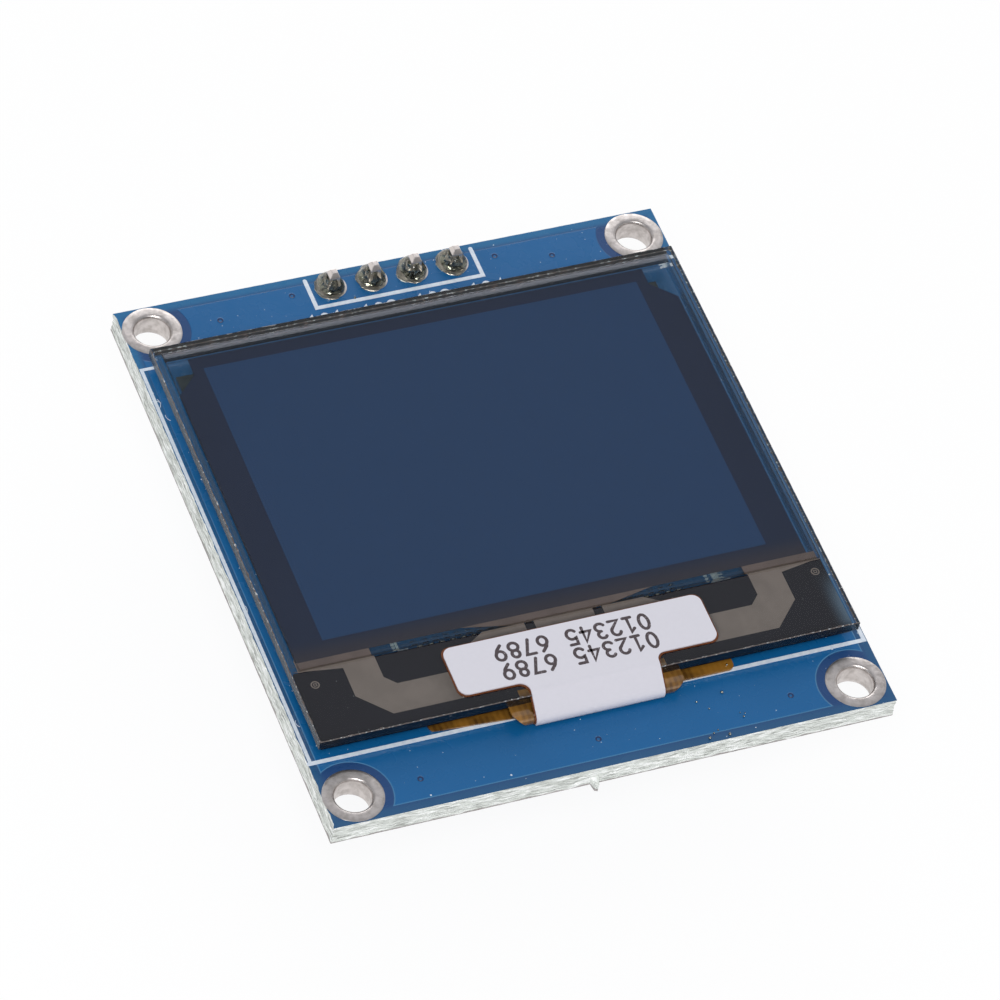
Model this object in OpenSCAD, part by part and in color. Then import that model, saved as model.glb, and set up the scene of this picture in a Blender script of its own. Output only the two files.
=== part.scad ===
// Small display module: a glass panel taped to a blue circuit board, with a
// folded flex cable along its lower edge and a pin header along its upper edge.
// The origin is the centre of the four mounting holes on the board's back face,
// +Z points out of the display and +Y towards the pin header.

/* [Board] */
// Thickness of the circuit board
board_t = 1.4; // [1:0.1:2]
// Board left bare on each side of the panel
side_margin = 0.65; // [0.3:0.05:3]
// Board left bare above the panel
top_margin = 4.25; // [4.15:0.05:7]
// Board left bare below the panel
bottom_margin = 4.55; // [4.4:0.05:7]
// Distance of each mounting hole from the two nearest edges
hole_inset = 1.8; // [1.8:0.05:2]
// Bore of the plated mounting holes
hole_d = 2.1; // [1.7:0.05:2.5]
// Outer diameter of the bare metal ring round each mounting hole
ring_d = 3.5; // [2.9:0.05:3.5]
// Wall of the metal plated into each hole
plating_t = 0.05; // [0.03:0.01:0.1]
// Height of the copper and tin above the board
copper_t = 0.04; // [0.03:0.005:0.07]
// Height of the white print above the board
print_t = 0.02; // [0.01:0.005:0.03]
// Width of the white printed lines
print_w = 0.25; // [0.15:0.05:0.4]
// Bare edge of the board beside the white printed lines
print_edge = 0.05; // [0.03:0.01:0.07]
// Distance from the panel's lower edge down to the printed outline's lower edge
outline_gap = 0.25; // [0.15:0.05:0.4]
// Distance from the panel's upper edge to the printed outline's upper edge
outline_tuck = 0.05; // [0.03:0.01:0.3]

/* [Header] */
// Distance from pin to pin
pin_pitch = 2.54; // [2.2:0.01:3]
// Width of the square pins
pin_w = 0.64; // [0.5:0.01:0.66]
// Distance from the pin row to the board's upper edge
pin_inset = 1.15; // [1.05:0.05:1.3]
// Pin length below the black housing
pin_len = 6; // [4:0.1:12]
// Pin tail above the board's front face
pin_tail = 1.4; // [1.35:0.05:2.5]
// Length of each pin's tapered tips
pin_tip = 0.3; // [0.1:0.05:0.5]
// Width of each pin at the end of its tips
pin_tip_w = 0.32; // [0.1:0.02:0.4]
// Depth of the black housing, front to back
housing_w = 2.5; // [2.2:0.05:2.7]
// Height of the black housing
housing_h = 2.54; // [2:0.05:3]
// Cut corners of the housing between the pins
housing_cut = 0.4; // [0.2:0.05:0.6]
// Bore of the plated pin holes
pin_hole_d = 1.0; // [0.95:0.01:1.05]
// Diameter of the solder pads round the pins
pin_pad_d = 1.8; // [1.5:0.05:1.9]
// Height of the solder cones
solder_h = 0.9; // [0.5:0.05:1.1]
// Solder left round the pins' corners at the top of the cones
solder_wall = 0.03; // [0.02:0.01:0.1]
// Height of the printed bracket round the pins
bracket_l = 2.55; // [2.5:0.05:2.9]
// Half width left between the end pins and the printed bracket
bracket_gap = 1.5; // [1.2:0.05:2.5]

/* [Glass panel] */
// Width of the front glass
panel_w = 32.4; // [30:0.1:34]
// Height of the front glass
panel_l = 28.8; // [27.5:0.1:30]
// Thickness of each of the two glass sheets
glass_t = 0.7; // [0.5:0.05:1.1]
// Thickness of the electrode layers and of the seal between the glasses
layer_t = 0.03; // [0.02:0.01:0.05]
// Part of the front glass that stays bare below the polariser
ledge_l = 4.85; // [4.6:0.05:5]
// Step from the front glass edge to the cover glass edge
cover_inset = 0.3; // [0.1:0.05:0.5]
// Step from the polariser's lower edge to the cover glass's lower edge
cover_setback = 0.6; // [0.5:0.05:0.8]
// Width of the seal round the cover glass
seal_w = 0.45; // [0.3:0.05:0.6]
// Depth of the pocket in the cover glass
pocket_d = 0.35; // [0.2:0.05:0.45]
// Thickness of the drying sheet in the pocket
dryer_t = 0.15; // [0.1:0.01:0.18]
// Step from the pocket's wall to the drying sheet
dryer_inset = 2.6; // [2.55:0.05:4]
// Distance from the front glass's side edges to the pixels
pixel_side = 2.77; // [2.2:0.01:4]
// Distance from the front glass's upper edge to the pixels
pixel_head = 1.61; // [1.2:0.01:3]
// Distance from the front glass's lower edge to the pixels
pixel_offset = 7.05; // [6.3:0.05:8]
// Width of the notches in the dark frame's two upper corners
notch_w = 1.35; // [0.5:0.05:1.6]
// Height of the notches' straight side
notch_l = 1.2; // [0.6:0.05:1.5]
// Height of the notches' slanted side
notch_slant = 1.3; // [0.5:0.05:2]

/* [Polariser and tape] */
// Step from the front glass's side edges to the polariser
film_side = 0.5; // [0.2:0.05:1.2]
// Thickness of the polariser film
film_t = 0.21; // [0.15:0.01:0.3]
// Step from the front glass's upper edge to the polariser
film_inset = 0.55; // [0.3:0.05:0.9]
// Thickness of the double-sided tape under the panel
tape_t = 0.2; // [0.18:0.01:0.4]
// Step from the cover glass edge to the tape
tape_inset = 1; // [0.5:0.1:2]
// Step from the cover glass's lower edge to the tape
tape_setback = 1.6; // [1.4:0.1:2.5]

/* [Ledge] */
// Bare glass between the cover glass and the black resin
window_l = 0.4; // [0.2:0.05:0.6]
// Thickness of the black resin behind the ledge
resin_t = 0.45; // [0.4:0.01:0.5]
// Length of the driver chip
chip_l = 13; // [11.5:0.1:13.4]
// Width of the driver chip
chip_w = 1.2; // [0.9:0.05:1.3]
// Thickness of the driver chip
chip_t = 0.35; // [0.2:0.01:0.38]
// Distance from the front glass's lower edge to the chip's centre line
chip_offset = 2.25; // [2.2:0.05:2.4]
// Distance from the front glass's side edges to the side conductors' inner edges
lead_margin = 4.93; // [4.2:0.01:5.2]
// Width of each side conductor where it runs down the ledge
lead_w = 1.96; // [1.5:0.02:2.2]
// Width of each side conductor where it runs towards the chip
lead_foot = 1.9; // [1.6:0.05:2]
// Slant on the inner side of the side conductors' turn
lead_slant = 0.6; // [0.3:0.05:0.9]
// Slant on the outer side of the side conductors' turn
lead_turn = 1.65; // [1:0.05:1.9]
// Slant where the side conductors widen towards the glass edge
lead_flare = 0.3; // [0.1:0.05:0.5]
// Gap between the middle conductors
lead_split = 0.57; // [0.3:0.01:0.8]
// Distance from the chip's lower edge to the side conductors
lead_drop = 0.55; // [0.3:0.05:0.6]
// Bare glass between the fan of fine conductors and the black resin
fan_gap = 0.18; // [0.16:0.01:0.3]
// How far the three middle conductors reach above the black resin
lead_rise = 0.14; // [0.05:0.01:0.15]
// Width of the middle conductor
middle_w = 3.55; // [3:0.05:4.5]
// Width of the conductor on each side of the middle one
flank_w = 3.4; // [2.5:0.05:3.6]
// Width of the cut outer corner of those conductors
flank_cut = 1; // [0.5:0.05:1.3]

/* [Flex cable] */
// Thickness of the flex cable
flex_t = 0.1; // [0.06:0.01:0.12]
// Width of the flex cable where it leaves the glass
neck_w = 8.8; // [8.4:0.1:10]
// Flex cable's tail left beyond the solder pads on each side
tail_side = 1; // [0.6:0.05:2]
// Length of flex cable bonded to the glass
bond_l = 0.8; // [0.5:0.05:1]
// Distance from the glass edge to the centre of the fold
fold_out = 0.55; // [0.5:0.05:0.9]
// Distance from the fold's centre to the front of the wide tail
tail_step = 0.5; // [0.35:0.05:0.6]
// Corner radius of the tail
tail_r = 0.5; // [0.3:0.05:0.9]
// Distance from the black resin's upper edge up to the end of the tail
tail_reach = 0.1; // [0:0.05:0.2]
// Shift of the tail and its pads to the left
tail_shift = 0.4; // [0:0.05:0.5]
// Number of solder pads
pad_count = 25; // [10:1:25]
// Distance from pad to pad
pad_pitch = 0.65; // [0.5:0.01:0.7]
// Width of each pad
pad_w = 0.36; // [0.25:0.01:0.4]
// Length of each pad
pad_l = 2.4; // [1.9:0.1:3]
// Length of pad left bare beyond the tail
pad_bare = 0.95; // [0.85:0.05:1]

/* [Label] */
// Width of the label's bar
label_w = 15.5; // [13:0.1:17]
// Height of the label's bar
label_l = 3.3; // [3.1:0.05:3.4]
// Distance from the glass's lower edge to the label's bar
label_offset = 0.9; // [0.85:0.05:1]
// Step from the flex cable's neck to the label's stem, on each side
stem_inset = 0.55; // [0.2:0.05:1]
// Thickness of the white label
label_t = 0.08; // [0.05:0.01:0.09]
// Thickness of the amber tape under the label
amber_t = 0.05; // [0.03:0.01:0.06]
// Rim of amber tape that shows round the label
amber_rim = 0.12; // [0.05:0.01:0.2]
// Radius of the label's corners
label_r = 0.55; // [0.3:0.05:0.6]
// Clearance between the amber tape and the flex cable's fold
wrap_gap = 0.005; // [0.003:0.001:0.01]
// Shift of the label and the flex cable's neck to the right
label_shift = 0.15; // [0:0.05:0.4]
// Angle at which the label ends on the flex cable's fold
wrap_end = 210; // [190:1:225]

/* [Parts on the back] */
// Distance from the board's upper edge to the first row of parts
row_1 = 6.4; // [5.8:0.1:7]
// Distance from the board's upper edge to the second row of parts
row_2 = 10.8; // [10.4:0.1:11.2]
// Distance from the board's upper edge to the third row of parts
row_3 = 15.3; // [14.9:0.1:15.5]
// Distance from the board's upper edge to the fourth row of parts
row_4 = 19; // [18.8:0.1:20]
// Distance from the board's lower edge to the last row of parts
last_row = 12.8; // [7:0.1:14]
// Distance from the board's side edges to the outer column of parts
column_1 = 5.4; // [5:0.1:5.8]
// Distance from the board's side edges to the next column of parts
column_2 = 9.2; // [9:0.1:9.4]
// Distance from the board's middle to the columns on each side of it
column_step = 4.2; // [4:0.1:4.2]
// Length of the chip capacitors and resistors
part_l = 1.6; // [1:0.05:1.8]
// Width of the chip capacitors and resistors
part_w = 0.8; // [0.5:0.05:0.95]
// Height of the chip capacitors
capacitor_h = 0.8; // [0.4:0.05:0.9]
// Height of the chip resistors
resistor_h = 0.45; // [0.3:0.05:0.6]
// Length of the metal ends of the capacitors and resistors
end_l = 0.35; // [0.2:0.05:0.4]
// Thickness of the metal ends of the capacitors and resistors
end_t = 0.03; // [0.02:0.01:0.06]
// Body length of the two leaded packages
package_l = 2.9; // [2.7:0.05:3.1]
// Body width of the two leaded packages
package_w = 1.6; // [1.3:0.05:1.7]
// Height of the two leaded packages above the board
package_h = 1.1; // [0.9:0.05:1.2]
// Gap between the packages' bodies and the board
package_gap = 0.1; // [0.05:0.01:0.15]
// Distance across the leads of the two packages
package_span = 2.8; // [2.6:0.05:3]
// Distance from lead to lead
lead_pitch = 0.95; // [0.9:0.01:1]
// Width of each lead
lead_metal_w = 0.4; // [0.3:0.02:0.5]
// Thickness of the leads
lead_metal_t = 0.13; // [0.1:0.01:0.16]
// Length of each lead's foot on the board
lead_foot_l = 0.4; // [0.3:0.02:0.42]
// Lean of each lead's riser
lead_lean = 0.05; // [0.02:0.01:0.06]
// Side of the square inductor
inductor_w = 3; // [2.5:0.1:3.4]
// Height of the inductor
inductor_h = 1.2; // [0.8:0.05:1.5]
// Cut corners of the inductor
inductor_cut = 0.45; // [0.2:0.05:0.6]
// Width of the inductor's two metal feet
inductor_foot_w = 0.7; // [0.5:0.05:1]
// Thickness of the inductor's two metal feet
inductor_foot_t = 0.12; // [0.05:0.01:0.2]
// Body length of the diode
diode_l = 1.7; // [1.4:0.05:1.9]
// Body width of the diode
diode_w = 1.25; // [1:0.05:1.4]
// Height of the diode above the board
diode_h = 0.9; // [0.6:0.05:1]
// Distance across the leads of the diode
diode_span = 2.5; // [2.1:0.05:2.7]
// Width of the diode's leads
diode_lead_w = 0.4; // [0.25:0.05:0.6]

/* [Hidden] */
$fn = 64;
PIN_COUNT = 4;
WRAP_FLATS = 12;

// Board
board_w = panel_w + 2 * side_margin;
board_l = panel_l + top_margin + bottom_margin;
left = -board_w / 2;
right = board_w / 2;
top = board_l / 2;
bottom = -board_l / 2;
hole_x = right - hole_inset;
hole_y = top - hole_inset;
pin_y = top - pin_inset;
housing_top = -copper_t;

// Places of the parts on the back, as [x, y, turn]
CAPACITORS = [
    [left + column_1, top - row_2, 90], [-column_step, top - row_2, 90], [0, top - row_2, 0],
    [column_step, top - row_2, 0], [right - column_1, top - row_2, 0],
    [-column_step, top - row_3, 90], [left + column_2, bottom + last_row, 0],
    [-column_step, bottom + last_row, 0]];
RESISTORS = [
    [left + column_1, top - row_1, 90], [left + column_2, top - row_1, 90],
    [0, top - row_4, 0], [column_step, top - row_4, 0], [right - column_2, top - row_1, 90],
    [right - column_1, top - row_1, 90], [0, bottom + last_row, 0],
    [column_step, bottom + last_row, 0]];
REGULATOR_AT = [left + column_2, top - row_2, 0];
CONVERTER_AT = [0, top - row_3, 0];
INDUCTOR_AT = [column_step, top - row_3, 0];
DIODE_AT = [right - column_1, top - row_3, 90];

// Levels of the stack, from the board's back face up
cover_z = board_t + tape_t;
seal_z = cover_z + glass_t;
front_z = seal_z + layer_t;
film_z = front_z + glass_t;

// Edges of the panel's layers
panel_top = top - top_margin;
panel_bottom = panel_top - panel_l;
film_bottom = panel_bottom + ledge_l;
cover_top = panel_top - cover_inset;
cover_bottom = film_bottom + cover_setback;
cover_half = panel_w / 2 - cover_inset;
frame_half = cover_half - seal_w;
frame_top = cover_top - seal_w;
frame_bottom = cover_bottom + seal_w;
resin_top = cover_bottom - window_l;
chip_y = panel_bottom + chip_offset;

// Flex cable
tail_z = board_t + copper_t;
fold_r = (front_z - tail_z) / 2;
fold_y = panel_bottom - fold_out;
fold_z = tail_z + fold_r;
tail_front = fold_y + tail_step;
tail_end = resin_top + tail_reach;
pad_top = tail_end + pad_bare;
tail_half = pad_count * pad_pitch / 2 + tail_side;

// Label: its stem, its bar on the glass and its straight run from the glass edge down
// to the fold, which it meets at the angle wrap_start
stem_w = neck_w - 2 * stem_inset;
bar_bottom = panel_bottom + label_offset;
wrap_r = fold_r + wrap_gap;
edge_rise = film_z - fold_z;
edge_angle = atan2(edge_rise, fold_out);
wrap_start = edge_angle + acos(wrap_r / norm([fold_out, edge_rise]));

// ---- Shared shapes ----

// Block between two corners, given as [x, y, z]
module block(low, high) {
    translate(low) cube(high - low);
}

// Rectangle between two corners, given as [x, y]
module rect(low, high) {
    translate(low) square(high - low);
}

// Rectangle with round corners, from circles and squares so that the arcs stay true
module round_rect(low, high, r) {
    rect(low + [r, 0], high - [r, 0]);
    rect(low + [0, r], high - [0, r]);
    for (x = [low.x + r, high.x - r], y = [low.y + r, high.y - r])
        translate([x, y]) circle(r);
}

// Rectangle about the origin with its corners cut at 45 degrees
module cut_rect(size, cut) {
    x = size.x / 2;
    y = size.y / 2;
    polygon([[-x, cut - y], [cut - x, -y], [x - cut, -y], [x, cut - y],
             [x, y - cut], [x - cut, y], [cut - x, y], [-x, y - cut]]);
}

// Concave corner fillet: the corner is at the origin and the fillet reaches [+r, -r].
// It also fills a square of side r on the corner's other sides, to join what is there.
module inside_fillet(r) {
    difference() {
        rect([-r, -r], [r, r]);
        translate([r, -r]) circle(r);
    }
}

// The same shape on both sides of the line x = at
module both_sides(at = 0) {
    for (side = [0, 1])
        translate([at, 0]) mirror([side, 0, 0]) children();
}

// Outline drawn in Y and Z, extruded along X and centred on x = at
module side_profile(width, at) {
    translate([at - width / 2, 0, 0]) rotate([90, 0, 90])
        linear_extrude(width) children();
}

// ---- Board ----

module hole_places() {
    for (x = [-hole_x, hole_x], y = [-hole_y, hole_y]) translate([x, y, 0]) children();
}

function pin_x(i) = (i - (PIN_COUNT + 1) / 2) * pin_pitch;

module pin_places() {
    for (i = [1:PIN_COUNT]) translate([pin_x(i), pin_y, 0]) children();
}

// Cutter for a hole through the board, run past both faces by the board's thickness
module through_hole(d) {
    translate([0, 0, -board_t]) cylinder(d = d, h = 3 * board_t);
}

module circuit_board() color("royalblue") difference() {
    block([left, bottom, 0], [right, top, board_t]);
    hole_places() through_hole(hole_d + 2 * plating_t);
    pin_places() through_hole(pin_hole_d + 2 * plating_t);
}

// A plated hole: a ring on each face joined by a thin metal barrel
module plated_hole(bore_d, pad_d) {
    difference() {
        union() {
            translate([0, 0, -copper_t]) cylinder(d = pad_d, h = copper_t);
            translate([0, 0, board_t]) cylinder(d = pad_d, h = copper_t);
            cylinder(d = bore_d + 2 * plating_t, h = board_t);
        }
        through_hole(bore_d);
    }
}

module mounting_rings() color("silver") hole_places() plated_hole(hole_d, ring_d);

module header_pads() color("silver") pin_places() plated_hole(pin_hole_d, pin_pad_d);

module pad_places() {
    for (i = [0:pad_count - 1])
        translate([(i - (pad_count - 1) / 2) * pad_pitch - tail_shift, 0, 0]) children();
}

module flex_pads() color("silver") pad_places()
    block([-pad_w / 2, pad_top - pad_l, board_t], [pad_w / 2, pad_top, tail_z]);

// White print: the panel's outline, and a bracket open towards the board's edge
module print_lines() color("white") translate([0, 0, board_t]) linear_extrude(print_t) {
    outline_half = right - print_edge;
    bracket_half = pin_x(PIN_COUNT) + bracket_gap;
    bracket_top = top - print_edge;
    bracket_bottom = bracket_top - bracket_l;
    outline_bottom = panel_bottom - outline_gap;
    outline_top = panel_top - outline_tuck;
    difference() {
        rect([-outline_half, outline_bottom], [outline_half, outline_top]);
        rect([-outline_half + print_w, outline_bottom + print_w],
             [outline_half - print_w, outline_top - print_w]);
    }
    difference() {
        rect([-bracket_half, bracket_bottom], [bracket_half, bracket_top]);
        rect([-bracket_half + print_w, bracket_bottom + print_w],
             [bracket_half - print_w, top]);
    }
}

// ---- Header ----

// Black housing: a bar with its corners cut at each pin's cell
module header_housing() color("dimgray") {
    translate([0, pin_y, housing_top - housing_h]) linear_extrude(housing_h) difference() {
        for (i = [1:PIN_COUNT]) translate([pin_x(i), 0])
            cut_rect([pin_pitch, housing_w], housing_cut);
        for (i = [1:PIN_COUNT]) translate([pin_x(i), 0]) square(pin_w, center = true);
    }
}

// Side view of a pin, pointed at both ends, extruded to the pin's width
module pin_profile() {
    low = housing_top - housing_h - pin_len;
    high = board_t + pin_tail;
    half = pin_w / 2;
    tip = pin_tip_w / 2;
    rotate([90, 0, 0]) linear_extrude(pin_w, center = true) polygon([
        [-tip, low], [tip, low], [half, low + pin_tip], [half, high - pin_tip],
        [tip, high], [-tip, high], [-half, high - pin_tip], [-half, low + pin_tip]]);
}

// Square pin with all four sides tapered towards both tips
module header_pin(i) color("silver") translate([pin_x(i), pin_y, 0]) intersection() {
    pin_profile();
    rotate(90) pin_profile();
}

// Solder that fills the hole round the pin and climbs it in a hollow cone
module pin_solder(i) color("lightgray") translate([pin_x(i), pin_y, 0]) {
    foot_r = pin_pad_d / 2 - copper_t;
    crest_r = pin_w / sqrt(2) + solder_wall;
    steps = 8;
    cone = [for (k = [0:steps])
        [crest_r + (foot_r - crest_r) * pow(1 - k / steps, 2), tail_z + solder_h * k / steps]];
    difference() {
        union() {
            translate([0, 0, -copper_t]) cylinder(d = pin_hole_d, h = board_t + 2 * copper_t);
            rotate_extrude() polygon(concat([[0, tail_z]], cone, [[0, tail_z + solder_h]]));
        }
        block([-pin_w / 2, -pin_w / 2, -board_t], [pin_w / 2, pin_w / 2, tail_z + 2 * solder_h]);
    }
}

// ---- Glass panel ----

module panel_tape() color("whitesmoke") block(
    [-cover_half + tape_inset, cover_bottom + tape_setback, board_t],
    [cover_half - tape_inset, cover_top - tape_inset, cover_z]);

// Cover glass at the back of the panel, with its pocket for the drying sheet
module cover_glass() color("lightcyan", 0.5) difference() {
    block([-cover_half, cover_bottom, cover_z], [cover_half, cover_top, seal_z]);
    block([-frame_half, frame_bottom, seal_z - pocket_d],
          [frame_half, frame_top, seal_z + pocket_d]);
}

module drying_sheet() color("gainsboro") block(
    [-frame_half + dryer_inset, frame_bottom + dryer_inset, seal_z - pocket_d],
    [frame_half - dryer_inset, frame_top - dryer_inset, seal_z - pocket_d + dryer_t]);

// Clear seal between the glasses, with the conductors passing through its lower run
module glass_seal() color("azure", 0.5) difference() {
    block([-cover_half, cover_bottom, seal_z], [cover_half, cover_top, front_z]);
    block([-frame_half, frame_bottom, seal_z - layer_t],
          [frame_half, frame_top, front_z + layer_t]);
    translate([0, 0, seal_z - layer_t]) linear_extrude(3 * layer_t) conductor_outline();
}

// Dark frame of electrodes round the pixels, with two notched upper corners
module electrode_frame() color("darkslategray") translate([0, 0, seal_z])
    linear_extrude(layer_t) difference() {
        union() {
            rect([-frame_half, frame_bottom], [frame_half, frame_top - notch_l - notch_slant]);
            polygon([
                [-frame_half, frame_top - notch_l - notch_slant],
                [frame_half, frame_top - notch_l - notch_slant],
                [frame_half - notch_w, frame_top - notch_l],
                [frame_half - notch_w, frame_top],
                [-frame_half + notch_w, frame_top],
                [-frame_half + notch_w, frame_top - notch_l]]);
        }
        pixel_outline();
    }

module pixel_outline() {
    rect([-panel_w / 2 + pixel_side, panel_bottom + pixel_offset],
         [panel_w / 2 - pixel_side, panel_top - pixel_head]);
}

module pixel_field() color("midnightblue") translate([0, 0, seal_z])
    linear_extrude(layer_t) pixel_outline();

// Metal conductors on the back of the ledge: two side ones that turn in towards the
// chip's ends, three middle ones above the chip, and a fan that leads to them
module conductor_outline() {
    foot_bottom = chip_y - chip_w / 2 - lead_drop;
    foot_top = foot_bottom + lead_foot;
    inner = panel_w / 2 - lead_margin;
    outer = inner + lead_w;
    flange_end = cover_half - label_shift;
    fan_bottom = resin_top + fan_gap;
    middle_top = resin_top + lead_rise;
    flank_x = middle_w / 2 + lead_split;
    both_sides(label_shift) {
        polygon([
            [chip_l / 2, foot_bottom], [outer - lead_turn, foot_bottom],
            [outer, foot_bottom + lead_turn], [outer, resin_top - lead_flare],
            [outer + lead_flare, resin_top], [flange_end, resin_top], [flange_end, frame_bottom],
            [inner, frame_bottom], [inner, foot_top + lead_slant],
            [inner - lead_slant, foot_top], [chip_l / 2, foot_top]]);
        polygon([
            [flank_x, chip_y + chip_w / 2], [flank_x + flank_w, chip_y + chip_w / 2],
            [flank_x + flank_w, middle_top - lead_slant],
            [flank_x + flank_w - flank_cut, middle_top], [flank_x, middle_top]]);
    }
    translate([label_shift, 0])
        rect([-middle_w / 2, chip_y + chip_w / 2], [middle_w / 2, middle_top]);
    translate([label_shift, 0]) polygon([
        [-flank_x - flank_w, frame_bottom], [-flank_x, fan_bottom],
        [flank_x, fan_bottom], [flank_x + flank_w, frame_bottom]]);
}

module ledge_conductors() color("gray") translate([0, 0, seal_z])
    linear_extrude(layer_t) conductor_outline();

module driver_chip() color("dimgray") block(
    [label_shift - chip_l / 2, chip_y - chip_w / 2, front_z - chip_t],
    [label_shift + chip_l / 2, chip_y + chip_w / 2, front_z]);

// Black resin cast over the chip and the conductors behind the ledge
module ledge_resin() color("black") difference() {
    block([-cover_half, panel_bottom + cover_inset, front_z - resin_t],
          [cover_half, resin_top, front_z]);
    translate([0, 0, seal_z]) linear_extrude(2 * layer_t) conductor_outline();
    block([label_shift - chip_l / 2, chip_y - chip_w / 2, front_z - chip_t],
          [label_shift + chip_l / 2, chip_y + chip_w / 2, front_z + chip_t]);
    block([label_shift - neck_w / 2, panel_bottom, front_z - flex_t],
          [label_shift + neck_w / 2, panel_bottom + bond_l, front_z + flex_t]);
}

module front_glass() color("lightcyan", 0.5) block(
    [-panel_w / 2, panel_bottom, front_z], [panel_w / 2, panel_top, film_z]);

module polariser() color("slategray", 0.6) block(
    [-panel_w / 2 + film_side, film_bottom, film_z],
    [panel_w / 2 - film_side, panel_top - film_inset, film_z + film_t]);

// ---- Flex cable and label ----

// Flex cable: bonded under the glass edge, folded back under it, with a wide tail
module flex_cable() color("sienna") {
    side_profile(neck_w, label_shift) {
        translate([fold_y, front_z - flex_t]) square([bond_l + fold_out, flex_t]);
        difference() {
            translate([fold_y, fold_z]) circle(fold_r);
            translate([fold_y, fold_z]) circle(fold_r - flex_t);
            translate([fold_y, fold_z - 2 * fold_r]) square([2 * fold_r, 4 * fold_r]);
        }
    }
    translate([0, 0, tail_z]) linear_extrude(flex_t) {
        round_rect([-tail_half - tail_shift, tail_front], [tail_half - tail_shift, tail_end],
                   tail_r);
        rect([label_shift - neck_w / 2, fold_y], [label_shift + neck_w / 2, tail_front + tail_r]);
        both_sides(label_shift) translate([neck_w / 2, tail_front]) inside_fillet(tail_step);
    }
}

// Solder that joins the tail's end to the bare part of each pad
module flex_solder() color("lightgray") pad_places() side_profile(pad_w, 0)
    polygon([[tail_end, tail_z], [pad_top, tail_z], [pad_top - flex_t, tail_z + flex_t],
             [tail_end, tail_z + flex_t]]);

// Point at an angle and a distance from the centre of the fold
function fold_point(angle, r) = [fold_y + r * cos(angle), fold_z + r * sin(angle)];

// Side view of the label's path, raised by t: along the glass, over its edge and
// straight down to the flex cable's fold, then in short flats that just touch the fold
function wrap_path(t) =
    let (step = (wrap_end - wrap_start) / WRAP_FLATS)
    concat(
        [[bar_bottom, film_z + t],
         [panel_bottom + t * (1 - sin(wrap_start)) / cos(wrap_start), film_z + t]],
        [for (k = [0:WRAP_FLATS - 1])
            fold_point(wrap_start + (k + 0.5) * step, (wrap_r + t) / cos(step / 2))],
        [fold_point(wrap_end, wrap_r + t)]);

function reversed(points) = [for (k = [len(points) - 1:-1:0]) points[k]];

// T-shaped sheet that lies on the glass from height low to height high and bends
// over the edge, wider all round by rim
module wrapped_sheet(low, high, rim) {
    bar_half = label_w / 2 + rim;
    stem_half = stem_w / 2 + rim;
    translate([label_shift, 0, film_z + low]) linear_extrude(high - low) {
        round_rect([-bar_half, bar_bottom - rim], [bar_half, bar_bottom + label_l + rim],
                   label_r);
        rect([-stem_half, bar_bottom - rim - label_r], [stem_half, bar_bottom + label_r]);
        both_sides() translate([stem_half, bar_bottom - rim]) inside_fillet(label_r);
    }
    side_profile(2 * stem_half, label_shift)
        polygon(concat(wrap_path(low), reversed(wrap_path(high))));
}

module amber_tape() color("saddlebrown") wrapped_sheet(0, amber_t, amber_rim);

module panel_label() color("white") wrapped_sheet(amber_t, amber_t + label_t, 0);

// ---- Parts on the back ----

// Turns a part that was drawn standing on z = 0 over, onto the board's back face
module on_back(place) {
    translate([place.x, place.y, 0]) rotate([180, 0, place[2]]) children();
}

// Chip part: a ceramic body between two metal ends that wrap round it
module chip_part(height) {
    block([-part_l / 2 + end_l, -part_w / 2 + end_t, end_t],
          [part_l / 2 - end_l, part_w / 2 - end_t, height - end_t]);
    for (side = [-1, 1]) translate([side * (part_l - end_l) / 2, 0, height / 2])
        cube([end_l, part_w, height], center = true);
}

module capacitor(i) color("tan") on_back(CAPACITORS[i - 1]) chip_part(capacitor_h);

module resistor(i) color("black") on_back(RESISTORS[i - 1]) chip_part(resistor_h);

// Bent lead: a foot on the board, a riser and a shoulder that enters the body
module bent_lead() {
    reach = package_span / 2;
    riser = reach - lead_foot_l;
    shoulder_z = (package_h - lead_metal_t) / 2;
    inside = package_w / 2 - lead_metal_t;
    rotate([90, 0, 0]) linear_extrude(lead_metal_w, center = true) polygon([
        [reach, 0], [reach, lead_metal_t], [riser + lead_metal_t, lead_metal_t],
        [riser + lead_metal_t - lead_lean, shoulder_z + lead_metal_t],
        [inside, shoulder_z + lead_metal_t], [inside, shoulder_z],
        [riser - lead_lean, shoulder_z], [riser, 0]]);
}

// Moulded package with a lead at each given place, as [side, offset in pitches]
module leaded_package(leads) {
    block([-package_l / 2, -package_w / 2, package_gap],
          [package_l / 2, package_w / 2, package_h]);
    for (lead = leads) translate([lead[1] * lead_pitch, 0, 0]) rotate(lead[0] * 90)
        bent_lead();
}

module voltage_regulator() color("black") on_back(REGULATOR_AT)
    leaded_package([[1, 0], [-1, -1], [-1, 1]]);

module boost_converter() color("black") on_back(CONVERTER_AT)
    leaded_package([[1, -1], [1, 1], [-1, -1], [-1, 0], [-1, 1]]);

// Shielded inductor: a square block with cut corners on two flat metal feet
module boost_inductor() color("gray") on_back(INDUCTOR_AT) {
    foot_l = inductor_w - 2 * inductor_cut;
    foot_x = (inductor_w - inductor_foot_w) / 2;
    translate([0, 0, inductor_foot_t]) linear_extrude(inductor_h - inductor_foot_t)
        cut_rect([inductor_w, inductor_w], inductor_cut);
    for (side = [-1, 1]) translate([side * foot_x, 0, inductor_foot_t / 2])
        cube([inductor_foot_w, foot_l, inductor_foot_t], center = true);
}

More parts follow.
